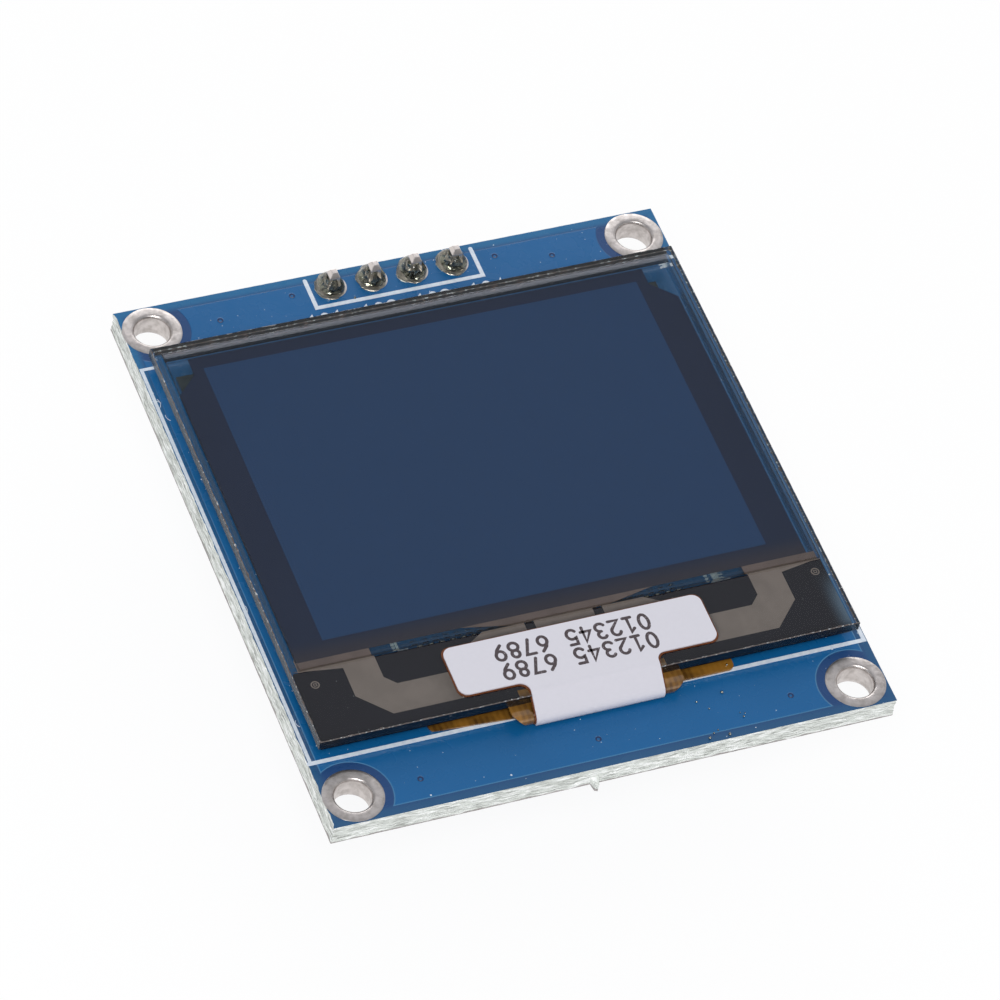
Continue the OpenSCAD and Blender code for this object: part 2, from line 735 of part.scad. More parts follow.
// Diode: a moulded body on two flat leads
module boost_diode() color("black") on_back(DIODE_AT) {
    block([-diode_l / 2, -diode_w / 2, lead_metal_t], [diode_l / 2, diode_w / 2, diode_h]);
    both_sides() block([diode_l / 2 - lead_metal_t, -diode_lead_w / 2, 0],
                       [diode_span / 2, diode_lead_w / 2, lead_metal_t]);
}

// ---- Assembly ----

circuit_board();
mounting_rings();
header_pads();
flex_pads();
print_lines();
header_housing();
for (i = [1:PIN_COUNT]) {
    header_pin(i);
    pin_solder(i);
}
flex_solder();
panel_tape();
cover_glass();
drying_sheet();
glass_seal();
electrode_frame();
pixel_field();
ledge_conductors();
driver_chip();
ledge_resin();
front_glass();
polariser();
flex_cable();
amber_tape();
panel_label();
voltage_regulator();
boost_converter();
boost_inductor();
boost_diode();
for (i = [1:len(CAPACITORS)])
    capacitor(i);
for (i = [1:len(RESISTORS)])
    resistor(i);
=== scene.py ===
"""Looks of a small display module: a glass panel on a blue circuit board with a pin header."""

import logging
import math
from dataclasses import dataclass, field
from enum import Enum
from typing import Callable, Iterable, Sequence

import bmesh
import bpy
from mathutils import Matrix, Vector, noise


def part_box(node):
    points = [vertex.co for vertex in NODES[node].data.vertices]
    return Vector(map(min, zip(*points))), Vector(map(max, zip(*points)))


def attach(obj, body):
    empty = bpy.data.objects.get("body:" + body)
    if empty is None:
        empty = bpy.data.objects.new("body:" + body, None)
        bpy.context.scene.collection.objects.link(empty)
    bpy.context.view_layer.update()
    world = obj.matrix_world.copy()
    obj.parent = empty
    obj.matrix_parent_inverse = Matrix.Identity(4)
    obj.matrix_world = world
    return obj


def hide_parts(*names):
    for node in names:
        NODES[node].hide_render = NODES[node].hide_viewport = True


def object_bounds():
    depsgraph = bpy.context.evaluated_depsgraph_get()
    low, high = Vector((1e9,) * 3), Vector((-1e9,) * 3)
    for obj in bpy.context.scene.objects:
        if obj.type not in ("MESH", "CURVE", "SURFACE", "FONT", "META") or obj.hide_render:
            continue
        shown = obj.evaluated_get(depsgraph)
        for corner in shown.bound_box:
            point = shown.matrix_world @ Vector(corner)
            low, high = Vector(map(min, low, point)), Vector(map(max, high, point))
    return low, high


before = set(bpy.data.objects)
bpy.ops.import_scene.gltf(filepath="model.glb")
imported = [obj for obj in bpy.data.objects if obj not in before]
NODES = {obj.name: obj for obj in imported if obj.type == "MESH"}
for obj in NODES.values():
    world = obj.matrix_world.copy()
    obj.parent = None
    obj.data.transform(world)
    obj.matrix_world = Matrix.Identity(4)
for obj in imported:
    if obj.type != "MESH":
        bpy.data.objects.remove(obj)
CAD_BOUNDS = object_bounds()

LOG = logging.getLogger("display_module")
MM = 0.001

Point2 = tuple[float, float]
Point3 = tuple[float, float, float]
Shade = bpy.types.NodeSocket
Tree = bpy.types.NodeTree
Build = bmesh.types.BMesh


class Slot(Enum):
    """The material slots, by name."""

    BOARD = "board"
    TINNED = "tinned"
    SOLDER = "solder"
    PRINT = "print"
    HOUSING = "housing"
    PIN = "pin"
    TAPE = "tape"
    GLASS = "glass"
    SEAL = "seal"
    DRYER = "dryer"
    ELECTRODE = "electrode"
    PIXELS = "pixels"
    CONDUCTOR = "conductor"
    SILICON = "silicon"
    RESIN = "resin"
    POLARISER = "polariser"
    FLEX = "flex"
    AMBER = "amber"
    LABEL = "label"
    PACKAGE = "package"
    CERAMIC = "ceramic"
    RESISTOR = "resistor"
    FERRITE = "ferrite"


class Axis(Enum):
    """Index of each axis in a point."""

    X = 0
    Y = 1
    Z = 2


# ---- Colour and nodes ----


def linear(code: str) -> tuple[float, float, float, float]:
    """Turns an sRGB hex colour into linear red, green, blue and alpha.

    Args:
        code: The colour as "#rrggbb".

    Returns:
        The linear colour with full alpha.
    """
    parts = [int(code[i : i + 2], 16) / 255 for i in (1, 3, 5)]
    lit = [c / 12.92 if c <= 0.04045 else ((c + 0.055) / 1.055) ** 2.4 for c in parts]
    return (lit[0], lit[1], lit[2], 1.0)


def add(tree: Tree, kind: str, sockets: dict | None = None, **settings) -> bpy.types.Node:
    """Adds a shader node.

    Args:
        tree: The node tree that gets it.
        kind: The node's type without its "ShaderNode" prefix.
        sockets: Input name or index, with a value to set or an output socket to link.
        **settings: Properties of the node itself.

    Returns:
        The new node.
    """
    node = tree.nodes.new("ShaderNode" + kind)
    for name, value in settings.items():
        setattr(node, name, value)
    for key, value in (sockets or {}).items():
        if isinstance(value, bpy.types.NodeSocket):
            tree.links.new(value, node.inputs[key])
        else:
            node.inputs[key].default_value = value
    return node


def skin_of(tree: Tree, sockets: dict) -> Shade:
    """Returns the output of a Principled BSDF with the given inputs."""
    return add(tree, "BsdfPrincipled", sockets).outputs[0]


def mix_of(tree: Tree, share: float | Shade, first: Shade, second: Shade) -> Shade:
    """Returns the mix of two shaders, where a share of 0 is the first and 1 the second."""
    return add(tree, "MixShader", {0: share, 1: first, 2: second}).outputs[0]


def clear_of(tree: Tree, tint: str) -> Shade:
    """Returns a transparent shader that tints what is seen through it."""
    return add(tree, "BsdfTransparent", {"Color": linear(tint)}).outputs[0]


def part_of(tree: Tree, vector: Shade, axis: Axis) -> Shade:
    """Returns one coordinate of a vector."""
    return add(tree, "SeparateXYZ", {0: vector}).outputs[axis.value]


def math_of(tree: Tree, operation: str, *values: float | Shade) -> Shade:
    """Returns the output of a Math node on one to three values."""
    return add(tree, "Math", dict(enumerate(values)), operation=operation).outputs[0]


def blend_of(
    tree: Tree, share: float | Shade, first: Shade | tuple, second: Shade | tuple
) -> Shade:
    """Returns the mix of two colours, where a share of 0 is the first and 1 the second."""
    return add(tree, "Mix", {0: share, 6: first, 7: second}, data_type="RGBA").outputs[2]


def step_of(tree: Tree, value: Shade, low: float, high: float) -> Shade:
    """Returns a smooth step of a value, 0 at low and 1 at high."""
    sockets = {"Value": value, "From Min": low, "From Max": high}
    return add(tree, "MapRange", sockets, interpolation_type="SMOOTHSTEP").outputs[0]


def range_of(tree: Tree, value: Shade, low: float, high: float) -> Shade:
    """Returns a value from 0 to 1 spread from low to high."""
    return add(tree, "MapRange", {"Value": value, "To Min": low, "To Max": high}).outputs[0]


def place_of(tree: Tree) -> Shade:
    """Returns the surface point in the part's own frame, in metres."""
    return add(tree, "TexCoord").outputs["Object"]


def grain_of(
    tree: Tree, size_mm: float | Point3, detail: float = 2.0, roughness: float = 0.5
) -> Shade:
    """Returns noise from 0 to 1 whose features have about the given size.

    Args:
        tree: The node tree.
        size_mm: Feature size in millimetres, or one for each axis.
        detail: Number of finer octaves.
        roughness: Weight of the finer octaves.

    Returns:
        The noise value.
    """
    sizes = size_mm if isinstance(size_mm, tuple) else (size_mm,) * 3
    return noise_of(tree, place_of(tree), sizes, detail, roughness)


def noise_of(
    tree: Tree, place: Shade, sizes_mm: Point3, detail: float, roughness: float
) -> Shade:
    """Returns noise at a point, with a feature size in millimetres for each axis."""
    factors = tuple(1 / (size * MM) for size in sizes_mm)
    scaled = add(tree, "VectorMath", {0: place, 1: factors}, operation="MULTIPLY").outputs[0]
    sockets = {"Vector": scaled, "Scale": 1.0, "Detail": detail, "Roughness": roughness}
    return add(tree, "TexNoise", sockets).outputs[0]


def specks_of(tree: Tree, spacing_mm: float, radius_mm: float, share: float) -> Shade:
    """Returns 1 on small scattered specks and 0 elsewhere.

    Args:
        tree: The node tree.
        spacing_mm: Mean distance between places where a speck may lie.
        radius_mm: Radius of the largest specks.
        share: Part of the places that hold a speck.

    Returns:
        The speck mask.
    """
    sockets = {0: place_of(tree), "Scale": 1 / (spacing_mm * MM)}
    scaled = add(tree, "VectorMath", sockets, operation="SCALE").outputs[0]
    cells = add(tree, "TexVoronoi", {"Vector": scaled, "Scale": 1.0}, voronoi_dimensions="2D")
    parts = add(tree, "SeparateColor", {0: cells.outputs["Color"]})
    size = math_of(tree, "MULTIPLY", parts.outputs[1], radius_mm / spacing_mm)
    near = math_of(tree, "LESS_THAN", cells.outputs["Distance"], size)
    chosen = math_of(tree, "LESS_THAN", parts.outputs[0], share)
    return math_of(tree, "MULTIPLY", near, chosen)


def bump_of(tree: Tree, height: Shade, depth_mm: float) -> Shade:
    """Returns a normal bent by a height from 0 to 1 that stands for a depth in millimetres."""
    return add(tree, "Bump", {"Height": height, "Distance": depth_mm * MM, "Strength": 1.0}).outputs[0]


def clear_to_lamps(tree: Tree, glass: Shade, tint: str) -> Shade:
    """Lets lamp light and soft light pass a clear shader without being bent.

    Args:
        tree: The node tree.
        glass: The clear shader that the eye and mirror reflections meet.
        tint: The hex colour that passing light takes on.

    Returns:
        The mixed shader.
    """
    path = add(tree, "LightPath")
    passing = math_of(tree, "MAXIMUM", path.outputs["Is Shadow Ray"], path.outputs["Is Diffuse Ray"])
    return mix_of(tree, passing, glass, clear_of(tree, tint))


def straight_on(tree: Tree, tint: str) -> Shade:
    """Lets all light go straight on.

    The eye looks on by a refraction that bends nothing, so that a deep stack of clear layers stays
    within the renderer's limit on transparent faces.

    Args:
        tree: The node tree.
        tint: The hex colour that passing light takes on.

    Returns:
        The clear shader.
    """
    looked = {"Color": linear(tint), "Roughness": 0.0, "IOR": 1.0005}
    return clear_to_lamps(tree, add(tree, "BsdfRefraction", looked).outputs[0], tint)


# ---- Finishes ----


@dataclass(frozen=True)
class Finish:
    """A finish: a named material that is built once and then shared."""

    title: str

    def material(self) -> bpy.types.Material:
        """Returns this finish's material, built on first use."""
        found = bpy.data.materials.get(self.title)
        if found is not None:
            return found
        made = bpy.data.materials.new(self.title)
        made.use_nodes = True
        tree = made.node_tree
        tree.nodes.clear()
        add(tree, "OutputMaterial", {"Surface": self.surface(tree)})
        return made

    def surface(self, tree: Tree) -> Shade:
        """Builds the nodes and returns the shader output.

        Args:
            tree: The empty node tree.

        Returns:
            The shader socket.
        """
        raise NotImplementedError


@dataclass(frozen=True)
class BoardArea:
    """Sizes of the board that its mask's pattern follows, in millimetres."""

    half_w: float
    half_l: float
    hole_x: float
    hole_y: float
    ring_r: float


@dataclass(frozen=True)
class SolderMask(Finish):
    """Blue epoxy solder mask, screened over copper: a glossy skin, darker where the copper stops, with
    painted light on its bare edge strips and on its copper step.
    """

    area: BoardArea
    over_copper: str = "#105c93"
    # Painted light: the bare edge strip is painted darker at the shaded front and lighter at the lit back.
    shaded_front_strip: str = "#24527b"
    lit_back_strip: str = "#1a6494"
    round_holes: str = "#1c4273"
    # Painted highlight along the copper's step, shown towards the front.
    step_highlight: str = "#5f97ba"
    dust: str = "#dfe8f0"
    pour_margin: float = 0.6
    clearance: float = 0.52

    def surface(self, tree: Tree) -> Shade:
        """Builds the mask with its copper areas, clearances, orange peel and dust, and its painted light: a
        shaded front strip, a lit back strip and a painted highlight on the copper's step towards the front.
        """
        area = self.area
        place = place_of(tree)
        spot = add(tree, "VectorMath", {0: place}, operation="ABSOLUTE").outputs[0]
        xyz = add(tree, "SeparateXYZ", {0: spot})
        to_side = math_of(tree, "SUBTRACT", area.half_w * MM, xyz.outputs[0])
        to_end = math_of(tree, "SUBTRACT", area.half_l * MM, xyz.outputs[1])
        to_edge = math_of(tree, "MINIMUM", to_side, to_end)
        flat = add(tree, "CombineXYZ", {0: xyz.outputs[0], 1: xyz.outputs[1]}).outputs[0]
        hole = (area.hole_x * MM, area.hole_y * MM, 0)
        to_hole = add(tree, "VectorMath", {0: flat, 1: hole}, operation="DISTANCE").outputs["Value"]
        ring_gap = math_of(tree, "SUBTRACT", to_hole, (area.ring_r + self.clearance) * MM)
        from_margin = math_of(tree, "SUBTRACT", to_edge, self.pour_margin * MM)
        depth = math_of(tree, "MINIMUM", ring_gap, from_margin)
        poured = step_of(tree, depth, -0.03 * MM, 0.03 * MM)
        line = step_of(tree, math_of(tree, "ABSOLUTE", depth), 0.06 * MM, 0.0)
        # Painted light: the bare strip at the edge goes from shaded at the front to lit at the back.
        y = part_of(tree, place, Axis.Y)
        backward = step_of(tree, y, -area.half_l * MM, area.half_l * MM)
        strip = blend_of(tree, backward, linear(self.shaded_front_strip), linear(self.lit_back_strip))
        inland = step_of(tree, to_edge, 0.25 * MM, 0.8 * MM)
        bare = blend_of(tree, inland, strip, linear(self.round_holes))
        base = blend_of(tree, poured, bare, linear(self.over_copper))
        # Painted highlight: a pale line on the copper's step, faded out towards the back.
        shown = math_of(tree, "MULTIPLY", line, step_of(tree, y, area.half_l * MM, -area.half_l * 0.8 * MM))
        base = blend_of(tree, math_of(tree, "MULTIPLY", shown, 0.5), base, linear(self.step_highlight))
        drift = grain_of(tree, 6.0, 2.0)
        value = math_of(tree, "ADD", 0.88, math_of(tree, "MULTIPLY", drift, 0.24))
        shade = add(tree, "HueSaturation", {"Value": value, "Color": base}).outputs[0]
        coarse = specks_of(tree, 1.6, 0.075, 0.22)
        dusty = math_of(tree, "MAXIMUM", specks_of(tree, 0.55, 0.032, 0.14), coarse)
        colour = blend_of(tree, math_of(tree, "MULTIPLY", dusty, 0.8), shade, linear(self.dust))
        height = math_of(tree, "ADD", poured, math_of(tree, "MULTIPLY", grain_of(tree, 0.5, 3.0), 0.3))
        gloss = range_of(tree, grain_of(tree, 1.2), 0.2, 0.34)
        return skin_of(tree, {
            "Base Color": colour, "Roughness": gloss, "IOR": 1.43,
            "Normal": bump_of(tree, height, 0.02),
        })


@dataclass(frozen=True)
class GlassFibreEdge(Finish):
    """Glass-fibre epoxy laminate, sawn at its edge: pale, with torn fibres in grey and white layers."""

    resin: str = "#a2a49f"
    ply: str = "#d6dad4"
    fibre: str = "#fbfcfa"
    # Painted shade along the lower rim of the edge.
    shaded_foot: str = "#85797a"
    bundle_mm: Point3 = (0.95, 0.95, 0.12)

    def surface(self, tree: Tree) -> Shade:
        """Builds cut fibre bundles that run along each ply, over painted shade along the lower rim."""
        wander = add(tree, "TexNoise", {"Vector": place_of(tree), "Scale": 900.0, "Detail": 2.0})
        offset = math_of(tree, "MULTIPLY", wander.outputs[0], 0.32 * MM)
        upward = add(tree, "CombineXYZ", {2: offset}).outputs[0]
        moved = add(tree, "VectorMath", {0: place_of(tree), 1: upward}, operation="ADD").outputs[0]
        bundles = noise_of(tree, moved, self.bundle_mm, 4.0, 0.62)
        colour = blend_of(tree, step_of(tree, bundles, 0.34, 0.5), linear(self.resin), linear(self.ply))
        colour = blend_of(tree, step_of(tree, bundles, 0.5, 0.64), colour, linear(self.fibre))
        height = part_of(tree, moved, Axis.Z)
        # Painted shade: the lowest part of the edge is darkened towards a lilac grey.
        low = step_of(tree, height, 0.3 * MM, 0.2 * MM)
        colour = blend_of(tree, math_of(tree, "MULTIPLY", low, 0.75), colour, linear(self.shaded_foot))
        return skin_of(tree, {
            "Base Color": colour, "Roughness": 0.7, "IOR": 1.5, "Normal": bump_of(tree, bundles, 0.09),
        })


@dataclass(frozen=True)
class HotTin(Finish):
    """Hot-air-levelled tin on copper: a pinkish grey, softly mottled metal."""

    tone: str = "#d3ccc9"
    dull: str = "#b5aeaa"
    low: float = 0.26
    high: float = 0.46

    def surface(self, tree: Tree) -> Shade:
        """Builds a mottled metal with fine scratches."""
        mottle = grain_of(tree, 0.5, 4.0, 0.6)
        colour = blend_of(tree, step_of(tree, mottle, 0.35, 0.7), linear(self.tone), linear(self.dull))
        rough = range_of(tree, mottle, self.low, self.high)
        return skin_of(tree, {
            "Base Color": colour, "Metallic": 1.0, "Roughness": rough,
            "Normal": bump_of(tree, grain_of(tree, 0.22, 3.0), 0.012),
        })


@dataclass(frozen=True)
class FluxGlass(Finish):
    """Rosin flux, set round a joint: a clear, faintly smoky glassy film."""

    tone: str = "#cfd0c4"

    def surface(self, tree: Tree) -> Shade:
        """Builds a thin clear resin that lets the lamps through."""
        glass = skin_of(tree, {
            "Base Color": linear(self.tone), "Roughness": 0.05, "IOR": 1.45, "Transmission Weight": 1.0,
            "Normal": bump_of(tree, grain_of(tree, 0.3, 2.0), 0.03),
        })
        return clear_to_lamps(tree, glass, self.tone)


@dataclass(frozen=True)
class ClearTape(Finish):
    """Double-sided acrylic tape: clear, faintly grey, with a soft cut side."""

    tint: str = "#dbe2e4"
    body: str = "#9aa4a8"

    def surface(self, tree: Tree) -> Shade:
        """Builds clear tape that wets out unevenly on the board."""
        wet = step_of(tree, grain_of(tree, 1.4, 3.0), 0.3, 0.7)
        body = skin_of(tree, {
            "Base Color": linear(self.body), "Roughness": 0.35, "Normal": bump_of(tree, wet, 0.01),
        })
        through = straight_on(tree, self.tint)
        share = range_of(tree, wet, 0.9, 0.97)
        return mix_of(tree, share, body, through)


@dataclass(frozen=True)
class SodaGlass(Finish):
    """Soda-lime display glass, float made: colourless and smooth."""

    tint: str = "#f2f7f5"
    rough: float = 0.0

    def surface(self, tree: Tree) -> Shade:
        """Builds clear glass that lets the lamps through."""
        glass = skin_of(tree, {
            "Base Color": linear(self.tint), "Roughness": self.rough, "IOR": 1.52,
            "Transmission Weight": 1.0,
        })
        return clear_to_lamps(tree, glass, self.tint)


@dataclass(frozen=True)
class BondedFace(Finish):
    """Glass wetted by the layer under it: light goes straight on, past a few tiny bubbles."""

    bubble: str = "#aeb6bb"
    tint: str = "#ffffff"

    def surface(self, tree: Tree) -> Shade:
        """Builds the clear joint with its bubbles."""
        bubble = add(tree, "BsdfDiffuse", {"Color": linear(self.bubble)}).outputs[0]
        through = straight_on(tree, self.tint)
        shown = math_of(tree, "MULTIPLY", specks_of(tree, 2.4, 0.03, 0.06), 0.3)
        return mix_of(tree, shown, through, bubble)


@dataclass(frozen=True)
class BuriedGlass(Finish):
    """Rear glass, bonded on both faces: clear from above, with bright cut sides."""

    tint: str = "#fafdfc"

    def surface(self, tree: Tree) -> Shade:
        """Builds glass that only shines at its sides, where resin half wets it."""
        sawn = grain_of(tree, (0.5, 0.5, 0.15), 3.0, 0.6)
        side = skin_of(tree, {
            "Base Color": linear(self.tint), "Roughness": 0.06, "IOR": 1.12, "Transmission Weight": 1.0,
            "Normal": bump_of(tree, sawn, 0.02),
        })
        through = straight_on(tree, self.tint)
        upward = part_of(tree, add(tree, "TexCoord").outputs["Normal"], Axis.Z)
        flat = step_of(tree, math_of(tree, "ABSOLUTE", upward), 0.3, 0.6)
        mixed = mix_of(tree, flat, side, through)
        return clear_to_lamps(tree, mixed, self.tint)


@dataclass(frozen=True)
class ScribedEdge(Finish):
    """Scribed and broken glass edge: a wall painted nearly black for the shade inside it, with a few bright
    chips.
    """

    # Painted shade: the wall's nearly black colour stands in for the darkness inside the glass edge.
    dark: str = "#10161b"
    chip: str = "#d5dde0"
    clear: str = "#b9c8cc"
    tint: str = "#8a9094"

    def surface(self, tree: Tree) -> Shade:
        """Builds the broken wall, painted nearly black as painted shade, partly clear."""
        chips = grain_of(tree, (0.3, 0.3, 0.12), 4.0, 0.7)
        shown = step_of(tree, chips, 0.68, 0.74)
        # Painted shade: the nearly black wall, with bright chips mixed in.
        body = skin_of(tree, {
            "Base Color": blend_of(tree, shown, linear(self.dark), linear(self.chip)),
            "Roughness": 0.16, "IOR": 1.52, "Normal": bump_of(tree, chips, 0.02),
        })
        clear = skin_of(tree, {
            "Base Color": linear(self.clear), "Roughness": 0.1, "IOR": 1.52, "Transmission Weight": 1.0,
        })
        mixed = mix_of(tree, 0.3, body, clear)
        return clear_to_lamps(tree, mixed, self.tint)


@dataclass(frozen=True)
class ChromeBlack(Finish):
    """Sputtered chrome black border, bonded behind the glass: nearly black, greyer over the tracks."""

    tracks_y: Point2
    tone: str = "#263149"
    grey: str = "#3b3a42"
    deep: str = "#232f48"

    def surface(self, tree: Tree) -> Shade:
        """Builds the dark film, which has no shine of its own under the glass."""
        drift = grain_of(tree, 5.0, 1.0)
        colour = blend_of(tree, drift, linear(self.tone), linear(self.deep))
        y = part_of(tree, place_of(tree), Axis.Y)
        low = step_of(tree, y, self.tracks_y[0] * MM, self.tracks_y[1] * MM)
        colour = blend_of(tree, low, colour, linear(self.grey))
        return skin_of(tree, {"Base Color": colour, "Roughness": 0.5, "Specular IOR Level": 0.0})


@dataclass(frozen=True)
class PixelGrid(Finish):
    """Field of unlit pixels: organic layers between clear columns and metal rows, deep blue."""

    tone: str = "#2a4a74"
    line: str = "#25436b"
    pitch_mm: float = 0.21

    def surface(self, tree: Tree) -> Shade:
        """Builds the grid of columns and rows."""
        xyz = add(tree, "SeparateXYZ", {0: place_of(tree)})
        waves = []
        for axis in (Axis.X, Axis.Y):
            cell = math_of(tree, "DIVIDE", xyz.outputs[axis.value], self.pitch_mm * MM)
            saw = math_of(tree, "PINGPONG", cell, 0.5)
            waves.append(step_of(tree, saw, 0.06, 0.14))
        grid = math_of(tree, "MULTIPLY", *waves)
        colour = blend_of(tree, grid, linear(self.line), linear(self.tone))
        return skin_of(tree, {"Base Color": colour, "Roughness": 0.5, "Specular IOR Level": 0.0})


@dataclass(frozen=True)
class BlackEpoxy(Finish):
    """Black epoxy, poured and cured: smooth with a few pores, with a painted bluish glow over one corner.
    """

    glow_from: Point2
    glow_to: Point2
    tone: str = "#111019"
    # Painted reflection: a bluish glow laid over one corner of the resin.
    thin: str = "#63788d"
    drifted: str = "#15151e"
    pore: str = "#77787c"

    def surface(self, tree: Tree) -> Shade:
        """Builds the cured resin with small pores and its painted bluish glow."""
        pores = specks_of(tree, 0.6, 0.04, 0.1)
        drift = grain_of(tree, 4.0, 2.0)
        colour = blend_of(tree, drift, linear(self.tone), linear(self.drifted))
        xyz = add(tree, "SeparateXYZ", {0: place_of(tree)})
        # Painted reflection: the glow grows towards one corner.
        across = step_of(tree, xyz.outputs[0], self.glow_from[0] * MM, self.glow_to[0] * MM)
        along = step_of(tree, xyz.outputs[1], self.glow_from[1] * MM, self.glow_to[1] * MM)
        share = math_of(tree, "MULTIPLY", math_of(tree, "POWER", across, 1.6), along)
        colour = blend_of(tree, share, colour, linear(self.thin))
        colour = blend_of(tree, math_of(tree, "MULTIPLY", pores, 0.5), colour, linear(self.pore))
        return skin_of(tree, {"Base Color": colour, "Roughness": 0.5, "Specular IOR Level": 0.0})


@dataclass(frozen=True)
class PolarisingFilm(Finish):
    """Polarising film, laminated and hard-coated: smoky, clear, with a faint blue reflection."""

    tint: str = "#e1dfdd"
    rough: float = 0.1
    shine: str = "#e6ecfb"

    def surface(self, tree: Tree) -> Shade:
        """Builds a smoky clear film under a coat."""
        through = straight_on(tree, self.tint)
        shine = add(tree, "BsdfGlossy", {"Color": linear(self.shine), "Roughness": self.rough}).outputs[0]
        facing = add(tree, "Fresnel", {"IOR": 1.49}).outputs[0]
        coat = mix_of(tree, facing, through, shine)
        return clear_to_lamps(tree, coat, self.tint)


@dataclass(frozen=True)
class FlexFilm(Finish):
    """Polyimide flex cable: glossy amber film over etched copper tracks."""

    film: str = "#a8742a"
    shaded: str = "#573a18"
    track: str = "#bd8a3c"
    pitch_mm: float = 0.34

    def surface(self, tree: Tree) -> Shade:
        """Builds faint copper tracks under the film."""
        cell = math_of(tree, "DIVIDE", part_of(tree, place_of(tree), Axis.X), self.pitch_mm * MM)
        cell = math_of(tree, "PINGPONG", cell, 0.5)
        tracks = step_of(tree, cell, 0.2, 0.3)
        cloud = step_of(tree, grain_of(tree, 1.2, 3.0), 0.3, 0.75)
        tone = blend_of(tree, cloud, linear(self.film), linear(self.shaded))
        colour = blend_of(tree, math_of(tree, "MULTIPLY", tracks, 0.18), tone, linear(self.track))
        return skin_of(tree, {
            "Base Color": colour, "Metallic": 0.25, "Roughness": 0.2, "IOR": 1.7, "Coat Weight": 1.0,
            "Coat Roughness": 0.05, "Normal": bump_of(tree, tracks, 0.001),
        })


@dataclass(frozen=True)
class PaperLabel(Finish):
    """Coated polyester label stock: satin white, very slightly uneven."""

    tone: str = "#d1cfd7"
    web: str = "#d6d4dc"

    def surface(self, tree: Tree) -> Shade:
        """Builds the coated sheet."""
        web = grain_of(tree, 0.25, 4.0, 0.6)
        colour = blend_of(tree, web, linear(self.tone), linear(self.web))
        return skin_of(tree, {
            "Base Color": colour, "Roughness": 0.42, "Coat Weight": 0.35, "Coat Roughness": 0.25,
            "Normal": bump_of(tree, grain_of(tree, 1.5, 2.0), 0.008),
        })


@dataclass(frozen=True)
class StudioFloor(Finish):
    """White studio paper that keeps a soft shadow."""

    lit_share: float = 0.08
    tone: str = "#ffffff"

    def surface(self, tree: Tree) -> Shade:
        """Builds white paper that the eye, mirrors and clear pieces see as nearly white."""
        paper = add(tree, "BsdfDiffuse", {"Color": linear(self.tone)}).outputs[0]
        white = add(tree, "Emission", {"Color": linear(self.tone), "Strength": 1.0}).outputs[0]
        path = add(tree, "LightPath")
        seen = math_of(tree, "MAXIMUM", path.outputs["Is Camera Ray"], path.outputs["Is Glossy Ray"])
        seen = math_of(tree, "MAXIMUM", seen, path.outputs["Is Transmission Ray"])
        share = math_of(tree, "MULTIPLY", seen, 1 - self.lit_share)
        return mix_of(tree, share, paper, white)


@dataclass(frozen=True)
class Grained(Finish):
    """A skin with a fine grain that lifts it slightly, mixes in a second tone, and may be part clear."""

    tone: str
    other: str = ""
    grain_mm: float | Point3 = 0.2
    detail: float = 3.0
    weight: float = 0.5
    turn: Point2 | None = None
    depth_mm: float = 0.0
    rough: float = 0.5
    metallic: float = 0.0
    shine: float = 0.5
    ior: float = 1.5
    clear: float = 0.0
    tint: str = "#ffffff"
    unbent: bool = False

    def surface(self, tree: Tree) -> Shade:
        """Builds the grained skin."""
        grain = grain_of(tree, self.grain_mm, self.detail, self.weight)
        colour = linear(self.tone)
        if self.other:
            share = step_of(tree, grain, *self.turn) if self.turn else grain
            colour = blend_of(tree, share, colour, linear(self.other))
        sockets = {
            "Base Color": colour, "Roughness": self.rough, "Metallic": self.metallic,
            "Specular IOR Level": self.shine, "IOR": self.ior,
        }
        if self.depth_mm:
            sockets["Normal"] = bump_of(tree, grain, self.depth_mm)
        body = skin_of(tree, sockets)
        if not self.clear:
            return body
        through = straight_on(tree, self.tint) if self.unbent else clear_of(tree, self.tint)
        return mix_of(tree, self.clear, body, through)


def nylon(title: str, tone: str = "#17181a", rough: float = 0.48) -> Grained:
    """Returns a dull black moulding compound with a fine grain."""
    return Grained(title, tone, "#26272a", 0.12, depth_mm=0.012, rough=rough)


def white_ink(title: str) -> Grained:
    """Returns a thick chalky white film."""
    return Grained(title, "#c9d4e2", "#dfe6ee", 0.25, turn=(0.2, 0.75), depth_mm=0.01, rough=0.55)


HOT_TIN = HotTin("hot-air-levelled tin")
LAMINATE = GlassFibreEdge("sawn glass-fibre laminate")
# Mask that fills a drilled via: thick, so nearly black blue.
SUNK_MASK = Grained("mask sunk in a plated via", "#0d2148", "#153463", 0.1, 2.0, rough=0.2)
# Tin solder, melted and left to set: bright and wet, with a slightly wrinkled skin.
SOLDER = Grained(
    "bright tin solder", "#97978f", grain_mm=0.22, weight=0.55, depth_mm=0.02, rough=0.13, metallic=1.0
)
# Tin-plated brass, drawn square: fine lines run along it.
PIN_TIN = Grained(
    "tin-plated brass pin", "#d8d0cc", grain_mm=(0.05, 0.05, 1.5), detail=2.0, depth_mm=0.006,
    rough=0.32, metallic=1.0,
)
# Broken corner of the glass: frosted white glints between dark, slightly brown stretches.
FROSTED_ARRIS = Grained(
    "frosted glass arris", "#544a46", "#d9e0e3", 0.2, 4.0, 0.75, (0.52, 0.66), depth_mm=0.05, rough=0.3
)
# Squeezed-out epoxy under the glass's edge: nearly black, with a thin brown crest.
SEAL_BEAD = Grained(
    "squeezed-out epoxy bead", "#1b1c20", "#5c4a44", (0.35, 0.12, 0.12), 3.0, 0.6, (0.55, 0.66),
    depth_mm=0.03, rough=0.3,
)
# Cured epoxy seal, pressed between the glasses: water-clear with a faint haze.
CLEAR_SEAL = Grained(
    "cured clear seal", "#8b979d", "#6d757b", 0.4, rough=0.4, clear=0.96, tint="#f1f5f6", unbent=True
)
